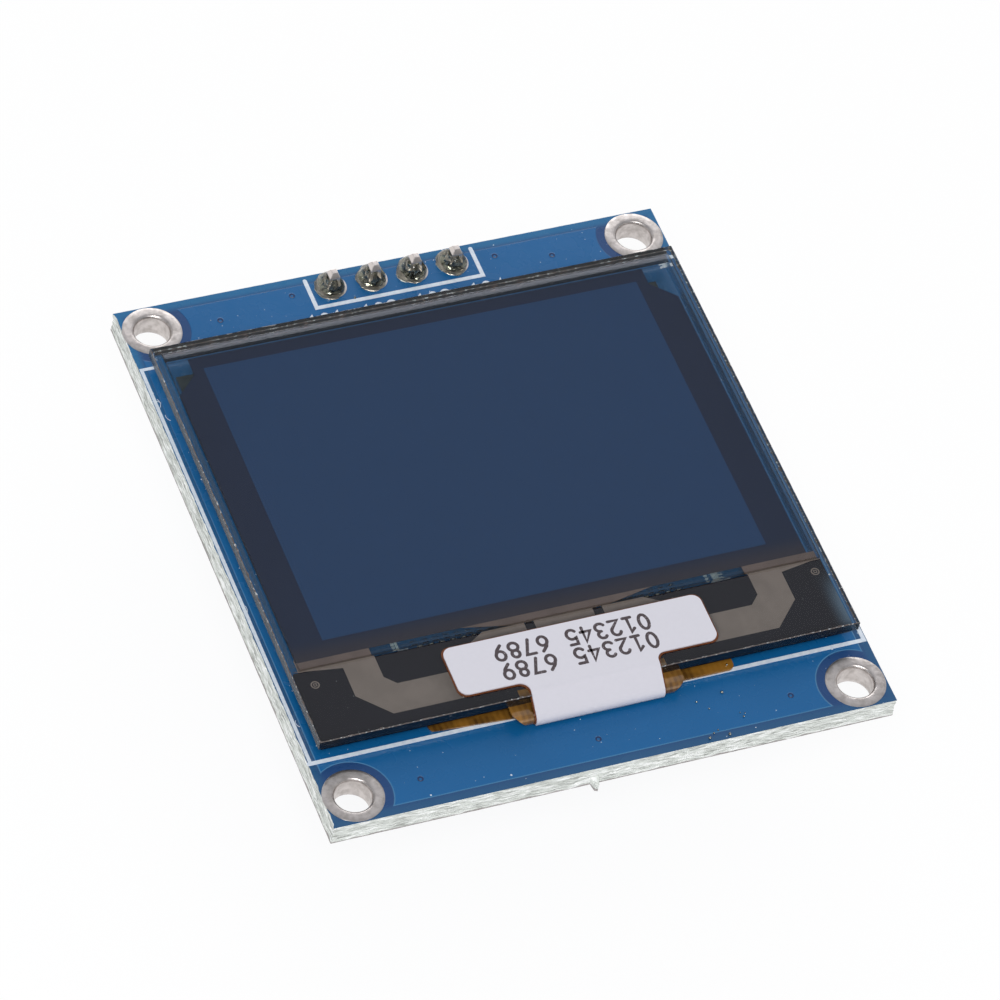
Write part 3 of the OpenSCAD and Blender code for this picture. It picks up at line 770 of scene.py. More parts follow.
# Cut edge of the laminated film: a thin brownish grey line of adhesive, half clear.
FILM_EDGE = Grained(
    "slit film edge", "#4b4643", "#353332", (0.4, 0.4, 0.05), 2.0, rough=0.3, clear=0.55, tint="#e4e0dc"
)
# Polyimide tape: thin, clear amber-brown with a glossy face.
AMBER_TAPE = Grained(
    "brown polyimide tape", "#8a4a1e", "#5e3214", 0.6, 2.0, rough=0.2, ior=1.6, clear=0.3, tint="#c98a4a"
)
# Calcium-oxide drying sheet, pressed: chalk white and matt.
DRYING_SHEET = Grained("pressed drying sheet", "#e4e2dc", "#c8c6c0", 0.06, depth_mm=0.02, rough=0.9)
# Sputtered tracks, seen through the glass: warm grey with faint cloudy marks.
THIN_METAL = Grained(
    "sputtered molybdenum", "#776b66", "#6f645f", 1.3, 3.0, 0.6, (0.3, 0.7), rough=0.5, shine=0.0
)
# Polished silicon die with faint grinding marks.
SILICON = Grained(
    "polished silicon", "#5c6066", grain_mm=(1.5, 0.05, 0.05), detail=2.0, depth_mm=0.003, rough=0.18,
    metallic=0.8,
)
# Brown-black printed digits with a slight dropout.
LABEL_INK = Grained(
    "thermal-transfer ink", "#43383c", "#8b8388", 0.12, 2.0, turn=(0.6, 0.75), rough=0.6
)
# Sintered ceramic: fine-grained and matt.
CERAMIC = Grained("sintered ceramic", "#a98a63", "#8d7250", 0.08, depth_mm=0.006, rough=0.55)


# ---- Meshes ----


def corners_of(node: str) -> tuple[Vector, Vector]:
    """Returns a CAD node's lowest and highest corner in millimetres."""
    low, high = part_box(node)
    return low / MM, high / MM


def mesh_of(name: str, bm: Build, smooth_below: float = 35.0) -> bpy.types.Mesh:
    """Turns a bmesh into a mesh with outward faces.

    Args:
        name: Name of the mesh.
        bm: The bmesh, which is freed.
        smooth_below: Faces that meet at fewer degrees than this shade as one surface.

    Returns:
        The mesh.
    """
    bmesh.ops.recalc_face_normals(bm, faces=bm.faces)
    mesh = bpy.data.meshes.new(name)
    bm.to_mesh(mesh)
    bm.free()
    mesh.shade_smooth()
    mesh.set_sharp_from_angle(angle=math.radians(smooth_below))
    return mesh


def piece(
    mesh: bpy.types.Mesh, finishes: Sequence[Finish], slot: Slot, stands_for: Iterable[str] = ()
) -> None:
    """Adds a piece that rides on the part and has its mesh's name.

    Args:
        mesh: Its mesh, in metres in the part's frame.
        finishes: Its finishes, in the order of the faces' material numbers.
        slot: The material slot that it belongs to, which is only written to the log.
        stands_for: CAD nodes that it is shown instead of.
    """
    made = bpy.data.objects.new(mesh.name, mesh)
    bpy.context.scene.collection.objects.link(made)
    for finish in finishes:
        mesh.materials.append(finish.material())
    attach(made, "root")
    nodes = tuple(stands_for)
    if nodes:
        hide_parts(*nodes)
    LOG.info("piece %s: %d faces, %s", mesh.name, len(mesh.polygons), slot.value)


def dress(node: str, finish: Finish, rounding_mm: float = 0.0) -> None:
    """Gives a CAD node its finish and, if asked, softly rounded edges.

    Args:
        node: The CAD node.
        finish: Its finish.
        rounding_mm: Width of the rounding on its sharp edges.
    """
    made = NODES[node]
    made.data.materials.clear()
    made.data.materials.append(finish.material())
    if rounding_mm:
        weld = made.modifiers.new("join", "WELD")
        weld.merge_threshold = 0.0001 * MM
        bevel = made.modifiers.new("rounding", "BEVEL")
        bevel.width = rounding_mm * MM
        bevel.segments = 2
        bevel.limit_method = "ANGLE"
        bevel.angle_limit = math.radians(30)
    LOG.info("node %s: %s", node, finish.title)


def band(bm: Build, one: Sequence, two: Sequence) -> list[bmesh.types.BMFace]:
    """Joins two closed rows of vertices with faces, one for each step along them."""
    following = list(zip(one[1:], two[1:])) + [(one[0], two[0])]
    return [bm.faces.new((a, c, d, b)) for a, b, (c, d) in zip(one, two, following)]


def prism(bm: Build, outline: Sequence[Point2], low: float, high: float) -> list:
    """Adds a closed upright prism.

    Args:
        bm: The bmesh that gets it.
        outline: Its outline in millimetres, anticlockwise.
        low: Height of its lower face in millimetres.
        high: Height of its upper face in millimetres.

    Returns:
        Its vertices.
    """
    base = [bm.verts.new((x * MM, y * MM, low * MM)) for x, y in outline]
    roof = [bm.verts.new((x * MM, y * MM, high * MM)) for x, y in outline]
    bm.faces.new(base[::-1])
    bm.faces.new(roof)
    band(bm, base, roof)
    return base + roof


def rectangle(low: Point2, high: Point2) -> list[Point2]:
    """Returns the four corners of a rectangle, anticlockwise."""
    return [(low[0], low[1]), (high[0], low[1]), (high[0], high[1]), (low[0], high[1])]


def soften(bm: Build, width_mm: float, segments: int = 2, above: float = 30.0) -> None:
    """Rounds the edges at which faces meet at more than a given angle.

    Args:
        bm: The bmesh.
        width_mm: Width of the rounding.
        segments: Number of facets in it.
        above: The angle in degrees.
    """
    sharp = [
        e for e in bm.edges if len(e.link_faces) == 2 and e.calc_face_angle(0) > math.radians(above)
    ]
    bmesh.ops.bevel(
        bm,
        geom=sharp,
        offset=width_mm * MM,
        segments=segments,
        profile=0.5,
        affect="EDGES",
        clamp_overlap=True,
    )


def lathe(
    bm: Build,
    profile: Sequence[Point2],
    centre: Point3,
    steps: int = 64,
    swell: Callable[[float, float], float] = lambda angle, height: 1.0,
    closed: bool = True,
) -> None:
    """Turns a profile about an upright axis.

    Args:
        bm: The bmesh that gets the turned shape.
        profile: Radius and height of each point, in millimetres.
        centre: Where the axis stands, in millimetres.
        steps: Number of sides.
        swell: Factor on the radius at an angle and a height.
        closed: Whether the profile is a loop; if not, its two ends lie on the axis.
    """
    rings = []
    for radius, height in profile:
        if radius < 1e-6:
            rings.append([bm.verts.new(Vector((centre[0], centre[1], centre[2] + height)) * MM)])
            continue
        ring = []
        for k in range(steps):
            angle = 2 * math.pi * k / steps
            r = radius * swell(angle, height)
            spot = Vector((r * math.cos(angle), r * math.sin(angle), height)) + Vector(centre)
            ring.append(bm.verts.new(spot * MM))
        rings.append(ring)
    pairs = list(zip(rings, rings[1:] + rings[:1])) if closed else list(zip(rings, rings[1:]))
    for one, two in pairs:
        for k in range(steps):
            m = (k + 1) % steps
            corners = [one[k % len(one)], one[m % len(one)], two[m % len(two)], two[k % len(two)]]
            unique = list(dict.fromkeys(corners))
            if len(unique) > 2:
                bm.faces.new(unique)


def walk(corners: Sequence[Point2], step: float) -> list[tuple[Point2, Point2]]:
    """Walks round an outline in short steps.

    Args:
        corners: The outline's corners in millimetres, anticlockwise.
        step: Greatest length of a step.

    Returns:
        Each point with its outward direction, which is diagonal at a corner.
    """
    walked = []
    count = len(corners)
    for i, corner in enumerate(corners):
        before = Vector(corner) - Vector(corners[i - 1])
        side = Vector(corners[(i + 1) % count]) - Vector(corner)
        out_before = Vector((before.y, -before.x)).normalized()
        out = Vector((side.y, -side.x)).normalized()
        parts = max(1, math.ceil(side.length / step))
        for k in range(parts):
            spot = Vector(corner) + side * (k / parts)
            way = out if k else (out + out_before)
            walked.append((tuple(spot), tuple(way)))
    return walked


def rough_at(spot: Vector, grain_mm: float, layers: int = 3) -> float:
    """Returns a repeatable noise value from about -1 to 1 at a point given in millimetres."""
    return noise.fractal(spot / grain_mm, 1.0, 2.0, layers)


def swelling(
    amount: float, grain: float, seed: float, climb: float, reach: float = 1.0
) -> Callable[[float, float], float]:
    """Returns an uneven factor on a turned shape's radius.

    Args:
        amount: How far the factor strays from 1.
        grain: Size of the swellings on a circle of radius 1.
        seed: Where in the noise the shape lies.
        climb: How fast the swelling changes with height.
        reach: Radius at which the noise is read.

    Returns:
        The factor at an angle and a height.
    """

    def swell(angle: float, height: float) -> float:
        way = Vector((math.cos(angle) * reach, math.sin(angle) * reach, seed + height * climb))
        return 1 + amount * rough_at(way, grain)

    return swell


def oval(centre: Point2, radii: Point2, start: float, end: float, steps: int = 16) -> list[Point2]:
    """Returns points on an oval between two angles in degrees."""
    angles = [math.radians(start + (end - start) * k / steps) for k in range(steps + 1)]
    return [(centre[0] + radii[0] * math.cos(a), centre[1] + radii[1] * math.sin(a)) for a in angles]


def arc_points(centre: Point2, radius: float, start: float, end: float) -> list[Point2]:
    """Returns points on an arc between two angles in degrees."""
    return oval(centre, (radius, radius), start, end, 8)


def ribbon(bm: Build, line: Sequence[Point2], width: float, low: float, high: float) -> None:
    """Adds a flat stroke of print with round ends.

    Args:
        bm: The bmesh that gets it.
        line: Middle line in millimetres; it closes on itself where its ends meet.
        width: Width of the stroke.
        low: Height of its under face.
        high: Height of its upper face.
    """
    points = [Vector(p) for p in line]
    loop = (points[0] - points[-1]).length < 1e-6
    if loop:
        points.pop()
    count = len(points)
    rails = []
    for i, point in enumerate(points):
        before = point - points[i - 1] if i or loop else points[1] - point
        after = points[(i + 1) % count] - point if loop or i < count - 1 else before
        way = (before.normalized() + after.normalized()).normalized()
        side = Vector((-way.y, way.x)) * (width / 2 / max(0.6, way.dot(after.normalized())))
        rails.append((point + side, point - side))
    if not loop:
        first = (points[0] - points[1]).normalized() * width / 2
        last = (points[-1] - points[-2]).normalized() * width / 2
        rails = cap_of(points[0], first)[::-1] + rails + [r[::-1] for r in cap_of(points[-1], last)]
    rings = [
        [bm.verts.new(Vector((p.x, p.y, z)) * MM) for p, z in ((a, low), (b, low), (b, high), (a, high))]
        for a, b in rails
    ]
    pairs = list(zip(rings, rings[1:]))
    if loop:
        pairs.append((rings[-1], rings[0]))
    else:
        bm.faces.new(rings[0])
        bm.faces.new(rings[-1][::-1])
    for one, two in pairs:
        for k in range(4):
            m = (k + 1) % 4
            bm.faces.new((one[k], two[k], two[m], one[m]))


def cap_of(end: Vector, out: Vector) -> list[tuple[Vector, Vector]]:
    """Returns the pairs of points that round off a stroke.

    Args:
        end: The stroke's last point.
        out: Outward direction there, as long as half the stroke's width.

    Returns:
        Left and right points, from the stroke outwards, as seen looking back along it.
    """
    side = Vector((out.y, -out.x))
    pairs = []
    for angle in (25, 50, 75):
        turn = math.radians(angle)
        middle = end + out * math.sin(turn)
        pairs.append((middle + side * math.cos(turn), middle - side * math.cos(turn)))
    return pairs


DIGITS: dict[str, list[list[Point2]]] = {
    "0": [oval((0.3, 0.5), (0.27, 0.5), 90, 450)],
    "1": [[(0.1, 0.78), (0.33, 1.0), (0.33, 0.0)], [(0.1, 0.0), (0.56, 0.0)]],
    "2": [oval((0.3, 0.71), (0.26, 0.29), 160, -35) + [(0.03, 0.0), (0.58, 0.0)]],
    "3": [oval((0.28, 0.76), (0.24, 0.24), 150, -90), oval((0.28, 0.26), (0.28, 0.26), 90, -150)],
    "4": [[(0.45, 0.0), (0.45, 1.0), (0.02, 0.3), (0.6, 0.3)]],
    "5": [[(0.54, 1.0), (0.1, 1.0), (0.07, 0.56)] + oval((0.28, 0.32), (0.29, 0.32), 125, -145)],
    "6": [oval((0.3, 0.31), (0.27, 0.31), 90, 450), [(0.46, 1.0), (0.18, 0.7), (0.035, 0.36)]],
    "7": [[(0.03, 1.0), (0.57, 1.0), (0.22, 0.0)]],
    "8": [oval((0.3, 0.76), (0.22, 0.24), 90, 450), oval((0.3, 0.27), (0.28, 0.27), 90, 450)],
    "9": [oval((0.3, 0.69), (0.27, 0.31), 90, 450), [(0.14, 0.0), (0.42, 0.3), (0.565, 0.64)]],
}


@dataclass(frozen=True)
class Lettering:
    """A line of plain digits printed on a flat face, with sizes in millimetres."""

    text: str
    middle: Point2
    height: float
    pitch: float
    pen: float
    upside_down: bool = False

    def write(self, bm: Build, low: float, high: float) -> None:
        """Adds the digits.

        Args:
            bm: The bmesh that gets them.
            low: Height of the print's under face.
            high: Height of its upper face.
        """
        sign = -1 if self.upside_down else 1
        start = -self.pitch * (len(self.text) - 1) / 2
        for place, digit in enumerate(self.text):
            for layer, stroke in enumerate(DIGITS.get(digit, [])):
                line = []
                for x, y in stroke:
                    dx = start + place * self.pitch + (x - 0.3) * self.height
                    dy = (y - 0.5) * self.height
                    line.append((self.middle[0] + sign * dx, self.middle[1] + sign * dy))
                ribbon(bm, line, self.pen, low, high + 0.0008 * layer)


# ---- Board ----


@dataclass
class Board:
    """The circuit board with its mask, bare edges, plated rings, print and tented vias."""

    ring_r: float = 1.75
    bore_r: float = 1.05
    wall: float = 0.05
    pin_bore_r: float = 0.55
    edge_step: float = 0.14
    edge_rows: int = 10
    rounding: float = 0.02
    via_r: float = 0.24
    pin_pitch: float = 2.54
    pin_inset: float = 1.15
    hole_inset: float = 1.8
    print_w: float = 0.25
    left_print_w: float = 0.2
    left_tear: float = 0.16
    torn: float = 0.06
    torn_left: float = 0.08
    outline_stub: float = 0.9
    outline_top: float = 14.5
    bracket_gap: float = 1.5
    bracket_l: float = 2.55
    bracket_stop: float = 0.32
    name_y: float = 15.3
    name_pitch: float = 3.36
    name_shift: float = 0.11
    number_y: float = -8.32
    print_sink: float = 0.004
    lip: float = 0.2
    via_core: float = 0.7
    burr_x: float = -1.3
    burr: tuple[Point2, ...] = ((-0.3, 0.1), (-0.16, -0.42), (0.02, -0.5), (0.24, 0.1))
    burr_z: Point2 = (0.05, 0.62)
    lint_w: float = 0.026
    lint_steps: int = 14
    lint: tuple[tuple[float, ...], ...] = (
        (-16.42, 12.1, 0.9, -60.0, -95.0),
        (-16.3, 11.8, 0.55, 120.0, 70.0),
        (-16.34, 10.9, 0.5, -100.0, 60.0),
        (-16.46, -3.2, 0.6, -75.0, -50.0),
        (-16.4, -11.4, 0.5, -120.0, 80.0),
    )
    specks: tuple[Point3, ...] = (
        (7.37, -15.74, 0.09), (5.73, -15.99, 0.06), (6.25, -16.6, 0.05), (5.52, -18.5, 0.09),
        (6.7, -18.55, 0.09), (5.87, -18.25, 0.06), (6.18, -18.1, 0.05), (7.95, -17.6, 0.06),
        (8.1, -17.4, 0.04), (7.85, -17.3, 0.04), (-2.76, 16.5, 0.07), (8.3, -14.1, 0.07),
    )
    speck_on_flex: float = -14.1
    vias: Sequence[Point2] = (
        (-10.96, 16.8), (-6.29, 17.55), (6.39, 17.55), (9.73, 16.78),
        (-11.09, -16.91), (-0.55, -16.93), (11.09, -16.93),
    )
    low: Vector = field(default_factory=lambda: corners_of("circuit_board")[0])
    high: Vector = field(default_factory=lambda: corners_of("circuit_board")[1])

    @property
    def holes(self) -> list[Point2]:
        """Centres of the four mounting holes."""
        x, y = self.high.x - self.hole_inset, self.high.y - self.hole_inset
        return [(-x, -y), (x, -y), (x, y), (-x, y)]

    @property
    def pins(self) -> list[Point2]:
        """Centres of the four pin holes."""
        return [((i - 1.5) * self.pin_pitch, self.high.y - self.pin_inset) for i in range(4)]

    @property
    def area(self) -> BoardArea:
        """Sizes that the mask's pattern follows."""
        x, y = self.holes[2]
        return BoardArea(self.high.x, self.high.y, x, y, self.ring_r)

    def build(self) -> None:
        """Builds the board and everything flat on it."""
        mask = SolderMask("blue epoxy solder mask", self.area)
        self.build_plate(mask)
        self.build_rings()
        self.build_vias(mask)
        dress("header_pads", HOT_TIN)
        dress("flex_pads", HOT_TIN)
        self.build_print()
        self.build_burr()
        self.build_specks()
        self.build_lint()

    def build_plate(self, mask: Finish) -> None:
        """Builds the laminate plate with its sawn, fibrous edge.

        Args:
            mask: Finish of its two faces.
        """
        bm = bmesh.new()
        outline = walk(rectangle(self.low.xy, self.high.xy), self.edge_step)
        rows = []
        for k in range(self.edge_rows + 1):
            share = k / self.edge_rows
            height = self.low.z + (self.high.z - self.low.z) * share
            rows.append([self.edge_point(spot, way, height, share, bm) for spot, way in outline])
        count = len(outline)
        for one, two in zip(rows, rows[1:]):
            for wall in band(bm, one, two):
                wall.material_index = 1
        for height, row in ((self.low.z, rows[0]), (self.high.z, rows[-1])):
            edges = [bm.edges.get((row[i], row[(i + 1) % count])) for i in range(count)]
            edges += self.hole_edges(bm, height)
            bmesh.ops.triangle_fill(bm, edges=edges, use_beauty=True)
        self.join_holes(bm)
        mesh = mesh_of("circuit_board_plate", bm, 50)
        piece(mesh, (mask, LAMINATE), Slot.BOARD, ("circuit_board",))

    def edge_point(
        self, spot: Point2, way: Point2, height: float, share: float, bm: Build
    ) -> bmesh.types.BMVert:
        """Adds one point of the sawn edge.

        Args:
            spot: Its place on the true outline.
            way: The outward direction there.
            height: Its height.
            share: That height as a share of the board's thickness.
            bm: The bmesh that gets it.

        Returns:
            The new vertex.
        """
        leans = way[0] < -0.5
        torn = self.torn_left if leans else self.torn
        depth = torn * math.sin(math.pi * share) ** 0.5 + 0.012
        place = Vector((spot[0], spot[1], height * 2.5))
        wave = rough_at(place, 0.45) * 0.6 + rough_at(place + Vector((7, 3, 1)), 0.16) * 0.4
        inward = depth * (0.5 + wave)
        if leans:
            clear = min(1.0, (self.high.y - abs(spot[1])) / 0.3)
            inward += self.left_tear * 0.8 * share**1.5 * max(0.0, clear) * (0.85 + 0.3 * wave)
        moved = Vector((spot[0] - way[0] * inward, spot[1] - way[1] * inward, height))
        return bm.verts.new(moved * MM)

    def hole_edges(self, bm: Build, height: float) -> list:
        """Adds the rims of all holes at one height and returns their edges."""
        edges = []
        rims = [(c, self.bore_r + self.wall, 64) for c in self.holes]
        rims += [(c, self.pin_bore_r, 32) for c in self.pins]
        for (x, y), radius, steps in rims:
            ring = []
            for k in range(steps):
                angle = 2 * math.pi * k / steps
                spot = (x + radius * math.cos(angle), y + radius * math.sin(angle), height)
                ring.append(bm.verts.new(Vector(spot) * MM))
            edges += [bm.edges.new((ring[k], ring[(k + 1) % steps])) for k in range(steps)]
        return edges

    def join_holes(self, bm: Build) -> None:
        """Joins the open rims of the two faces with hole walls."""
        open_edges = [e for e in bm.edges if len(e.link_faces) == 1]
        by_place = {}
        for vert in {v for e in open_edges for v in e.verts}:
            key = (round(vert.co.x / MM, 4), round(vert.co.y / MM, 4))
            by_place.setdefault(key, []).append(vert)
        partner = {}
        for pair in by_place.values():
            if len(pair) == 2:
                partner[pair[0]] = pair[1]
                partner[pair[1]] = pair[0]
        top = self.high.z * MM - 1e-7
        for edge in open_edges:
            a, b = edge.verts
            if a.co.z > top and a in partner and b in partner:
                bm.faces.new((a, b, partner[b], partner[a])).material_index = 1

    def build_print(self) -> None:
        """Prints the panel's outline, the pin bracket and plain pad and pin numbers."""
        line_low, line_high = corners_of("print_lines")
        low, high = self.high.z - self.print_sink, line_high.z
        pen = self.print_w
        x = line_high.x - pen / 2
        front, back = line_low.y + pen / 2, self.outline_top - pen / 2
        reach = self.pins[-1][0] + self.bracket_gap - pen / 2
        end, bend = line_high.y - self.bracket_stop, line_high.y - self.bracket_l + pen / 2
        bm = bmesh.new()
        stub = x - self.outline_stub
        ribbon(bm, [(-x, front), (x, front), (x, back), (stub, back)], pen, low, high)
        left = -(self.high.x - self.left_tear - self.left_print_w / 2)
        ribbon(bm, [(left, front), (left, back), (-stub, back)], self.left_print_w, low, high + 0.0012)
        ribbon(bm, [(-reach, end), (-reach, bend), (reach, bend), (reach, end)], pen, low, high)
        for number in range(4):
            spot = (self.name_pitch * (number - 1.5) + self.name_shift, self.name_y)
            name = Lettering(f"10{number + 1}", spot, height=1.0, pitch=0.78, pen=0.17)
            name.write(bm, low, high)
        for text, x in (("1", -9.25), ("25", 10.1)):
            number = Lettering(text, (x, self.number_y), height=0.92, pitch=0.62, pen=0.2)
            number.write(bm, low, high)
        mesh = mesh_of("legend_print", bm)
        piece(mesh, (white_ink("white epoxy legend ink"),), Slot.PRINT, ("print_lines",))

    def build_burr(self) -> None:
        """Leaves a torn tab of laminate on the front edge, where the board was broken off its panel."""
        x, y = self.burr_x, self.low.y
        bm = bmesh.new()
        prism(bm, [(x + dx, y + dy) for dx, dy in self.burr], *self.burr_z)
        soften(bm, 0.05, 2)
        for vert in bm.verts:
            vert.co += noise.noise_vector(vert.co / (0.3 * MM)) * 0.03 * MM
            if vert.co.y < (y - 0.2) * MM:
                vert.co.z -= 0.12 * MM
        mesh = mesh_of("edge_burr", bm, 40)
        piece(mesh, (LAMINATE,), Slot.BOARD)

    def build_lint(self) -> None:
        """Lays a few stray glass fibres on the mask beside the panel."""
        bm = bmesh.new()
        for x, y, length, start, turn in self.lint:
            line = [(x, y)]
            step = length / self.lint_steps
            for k in range(self.lint_steps):
                angle = math.radians(start + turn * k / (self.lint_steps - 1))
                x, y = x + math.cos(angle) * step, y + math.sin(angle) * step
                line.append((x, y))
            ribbon(bm, line, self.lint_w, self.high.z + 0.004, self.high.z + 0.026)
        mesh = mesh_of("stray_fibres", bm)
        piece(mesh, (white_ink("stray glass fibre"),), Slot.BOARD)

    def build_specks(self) -> None:
        """Scatters stray balls of solder that stuck to the mask."""
        bm = bmesh.new()
        for number, (x, y, r) in enumerate(self.specks):
            rise = corners_of("flex_cable")[0].z + 0.1 if y == self.speck_on_flex else self.high.z
            ball = bmesh.ops.create_icosphere(bm, subdivisions=2, radius=r * MM)["verts"]
            for vert in ball:
                vert.co *= 1 + 0.3 * rough_at(vert.co / MM + Vector((number, 0, 0)), r * 1.2)
                vert.co += Vector((x, y, rise + r * 0.7)) * MM
        mesh = mesh_of("stray_solder", bm, 60)
        piece(mesh, (SOLDER,), Slot.SOLDER)

    def build_rings(self) -> None:
        """Builds the tinned ring and barrel of each mounting hole, its lip rolled into the hole."""
        bm = bmesh.new()
        top = self.high.z
        rise = corners_of("mounting_rings")[1].z - top
        outer, bore, lip = self.ring_r, self.bore_r, self.lip
        crest = top + rise + 0.02
        upper = [(outer, top), (outer - 0.005, top + rise * 0.5), (outer - 0.05, top + rise)]
        upper += [(outer - 0.2, crest - 0.008), (bore + lip + 0.1, crest)]
        upper += [
            (bore + lip * (1 - math.sin(a)), crest - lip * (1 - math.cos(a)))
            for a in (math.radians(10 * k) for k in range(10))
        ]
        middle = self.high.z / 2
        lower = [(r, 2 * middle - z) for r, z in reversed(upper)]
        inner = [(bore + self.wall, 0.0), (bore + self.wall, top)]
        for number, (x, y) in enumerate(self.holes):
            uneven = swelling(0.008, 1.0, number * 9.0, 1.0, 1.6)
            lathe(bm, upper + lower + inner, (x, y, 0.0), 96, uneven)
        for vert in bm.verts:
            spot = vert.co / MM
            if spot.z > top + rise * 0.8:
                vert.co.z += 0.012 * rough_at(spot, 0.7) * MM
        mesh = mesh_of("mounting_hole_rings", bm)
        piece(mesh, (HOT_TIN,), Slot.TINNED, ("mounting_rings",))

    def build_vias(self, mask: Finish) -> None:
        """Builds the small humps where mask covers a plated via.

        Args:
            mask: The board's mask.
        """
        bm = bmesh.new()
        r = self.via_r
        profile = [(0, -0.001), (r * 0.35, 0.0), (r * 0.5, 0.008), (r * 0.75, 0.014), (r, 0.0)]
        profile += [(r, -0.01), (0, -0.01)]
        for x, y in self.vias:
            lathe(bm, profile, (x, y, self.high.z), 32, closed=False)
        mesh = mesh_of("tented_vias", bm, 60)
        for face in mesh.polygons:
            spot = face.center.xy / MM
            away = min((spot - Vector(via)).length for via in self.vias)
            face.material_index = int(away < r * self.via_core)
        piece(mesh, (mask, SUNK_MASK), Slot.BOARD)


# ---- Header ----


@dataclass
class Header:
    """The pin header: housing, pins, and the solder and flux round each pin's tail."""

    board_top: float = field(default_factory=lambda: corners_of("circuit_board")[1].z)
    well_r: float = 0.5
    solder_r: float = 0.62
    crest_r: float = 0.34
    seat: float = 0.035
    climb: float = 0.08
    hollow: float = 3.2
    cone_steps: int = 18
    flux_r: float = 0.9
    flux_gap: float = 0.04
    flux_shift: Point2 = (-0.1, -0.02)
    flux_steps: int = 10

    def build(self) -> None:
        """Builds the header's pieces."""
        dress("header_housing", nylon("moulded black nylon"), 0.06)
        for i in range(1, 5):
            dress(f"header_pin_{i}", PIN_TIN, 0.03)
            self.build_joint(i)

    def build_joint(self, number: int) -> None:
        """Builds one soldered joint, its solder drawn up round the pin in a hollow cone.

        Args:
            number: Which pin, from 1.
        """
        low, high = corners_of(f"pin_solder_{number}")
        x, y = (low.x + high.x) / 2, (low.y + high.y) / 2
        base, crest = self.board_top + self.seat, high.z + self.climb
        cone = []
        for k in range(self.cone_steps + 1):
            share = k / self.cone_steps
            radius = self.crest_r + (self.solder_r - self.crest_r) * (1 - share) ** self.hollow
            cone.append((radius, base + (crest - base) * share))
        profile = [(0, low.z), (self.well_r, low.z), (self.well_r, self.board_top)]
        profile += [(self.solder_r, self.board_top)]
        profile += cone + [(self.crest_r - 0.08, crest + 0.02), (0, crest + 0.02)]
        bm = bmesh.new()
        lathe(bm, profile, (x, y, 0.0), 72, swelling(0.16, 0.7, number * 5.0, 0.9), closed=False)
        mesh = mesh_of(f"solder_joint_{number}", bm, 60)
        piece(mesh, (SOLDER,), Slot.SOLDER, (f"pin_solder_{number}",))
        self.build_flux(number, (x, y), crest)

    def build_flux(self, number: int, centre: Point2, crest: float) -> None:
        """Builds the clear flux that has set round one joint.

        Args:
            number: Which pin, from 1.
            centre: The pin's place.
            crest: Height of the solder's top.
        """
        floor = self.board_top + 0.002
        inner = self.crest_r + self.flux_gap
        dome = []
        for k in range(self.flux_steps + 1):
            share = k / self.flux_steps
            radius = inner + (self.flux_r - inner) * (1 - share**1.8)
            dome.append((radius, floor + 0.05 + (crest - 0.12 - floor) * share))
        profile = [(0.3, floor), (self.flux_r, floor)] + dome + [(0.3, crest - 0.1)]
        bm = bmesh.new()
        middle = (centre[0] + self.flux_shift[0], centre[1] + self.flux_shift[1], 0.0)
        lathe(bm, profile, middle, 64, swelling(0.14, 0.8, number * 3.7, 0.5))
        mesh = mesh_of(f"flux_{number}", bm, 60)
        piece(mesh, (FluxGlass("set rosin flux"),), Slot.SOLDER)


# ---- Panel ----


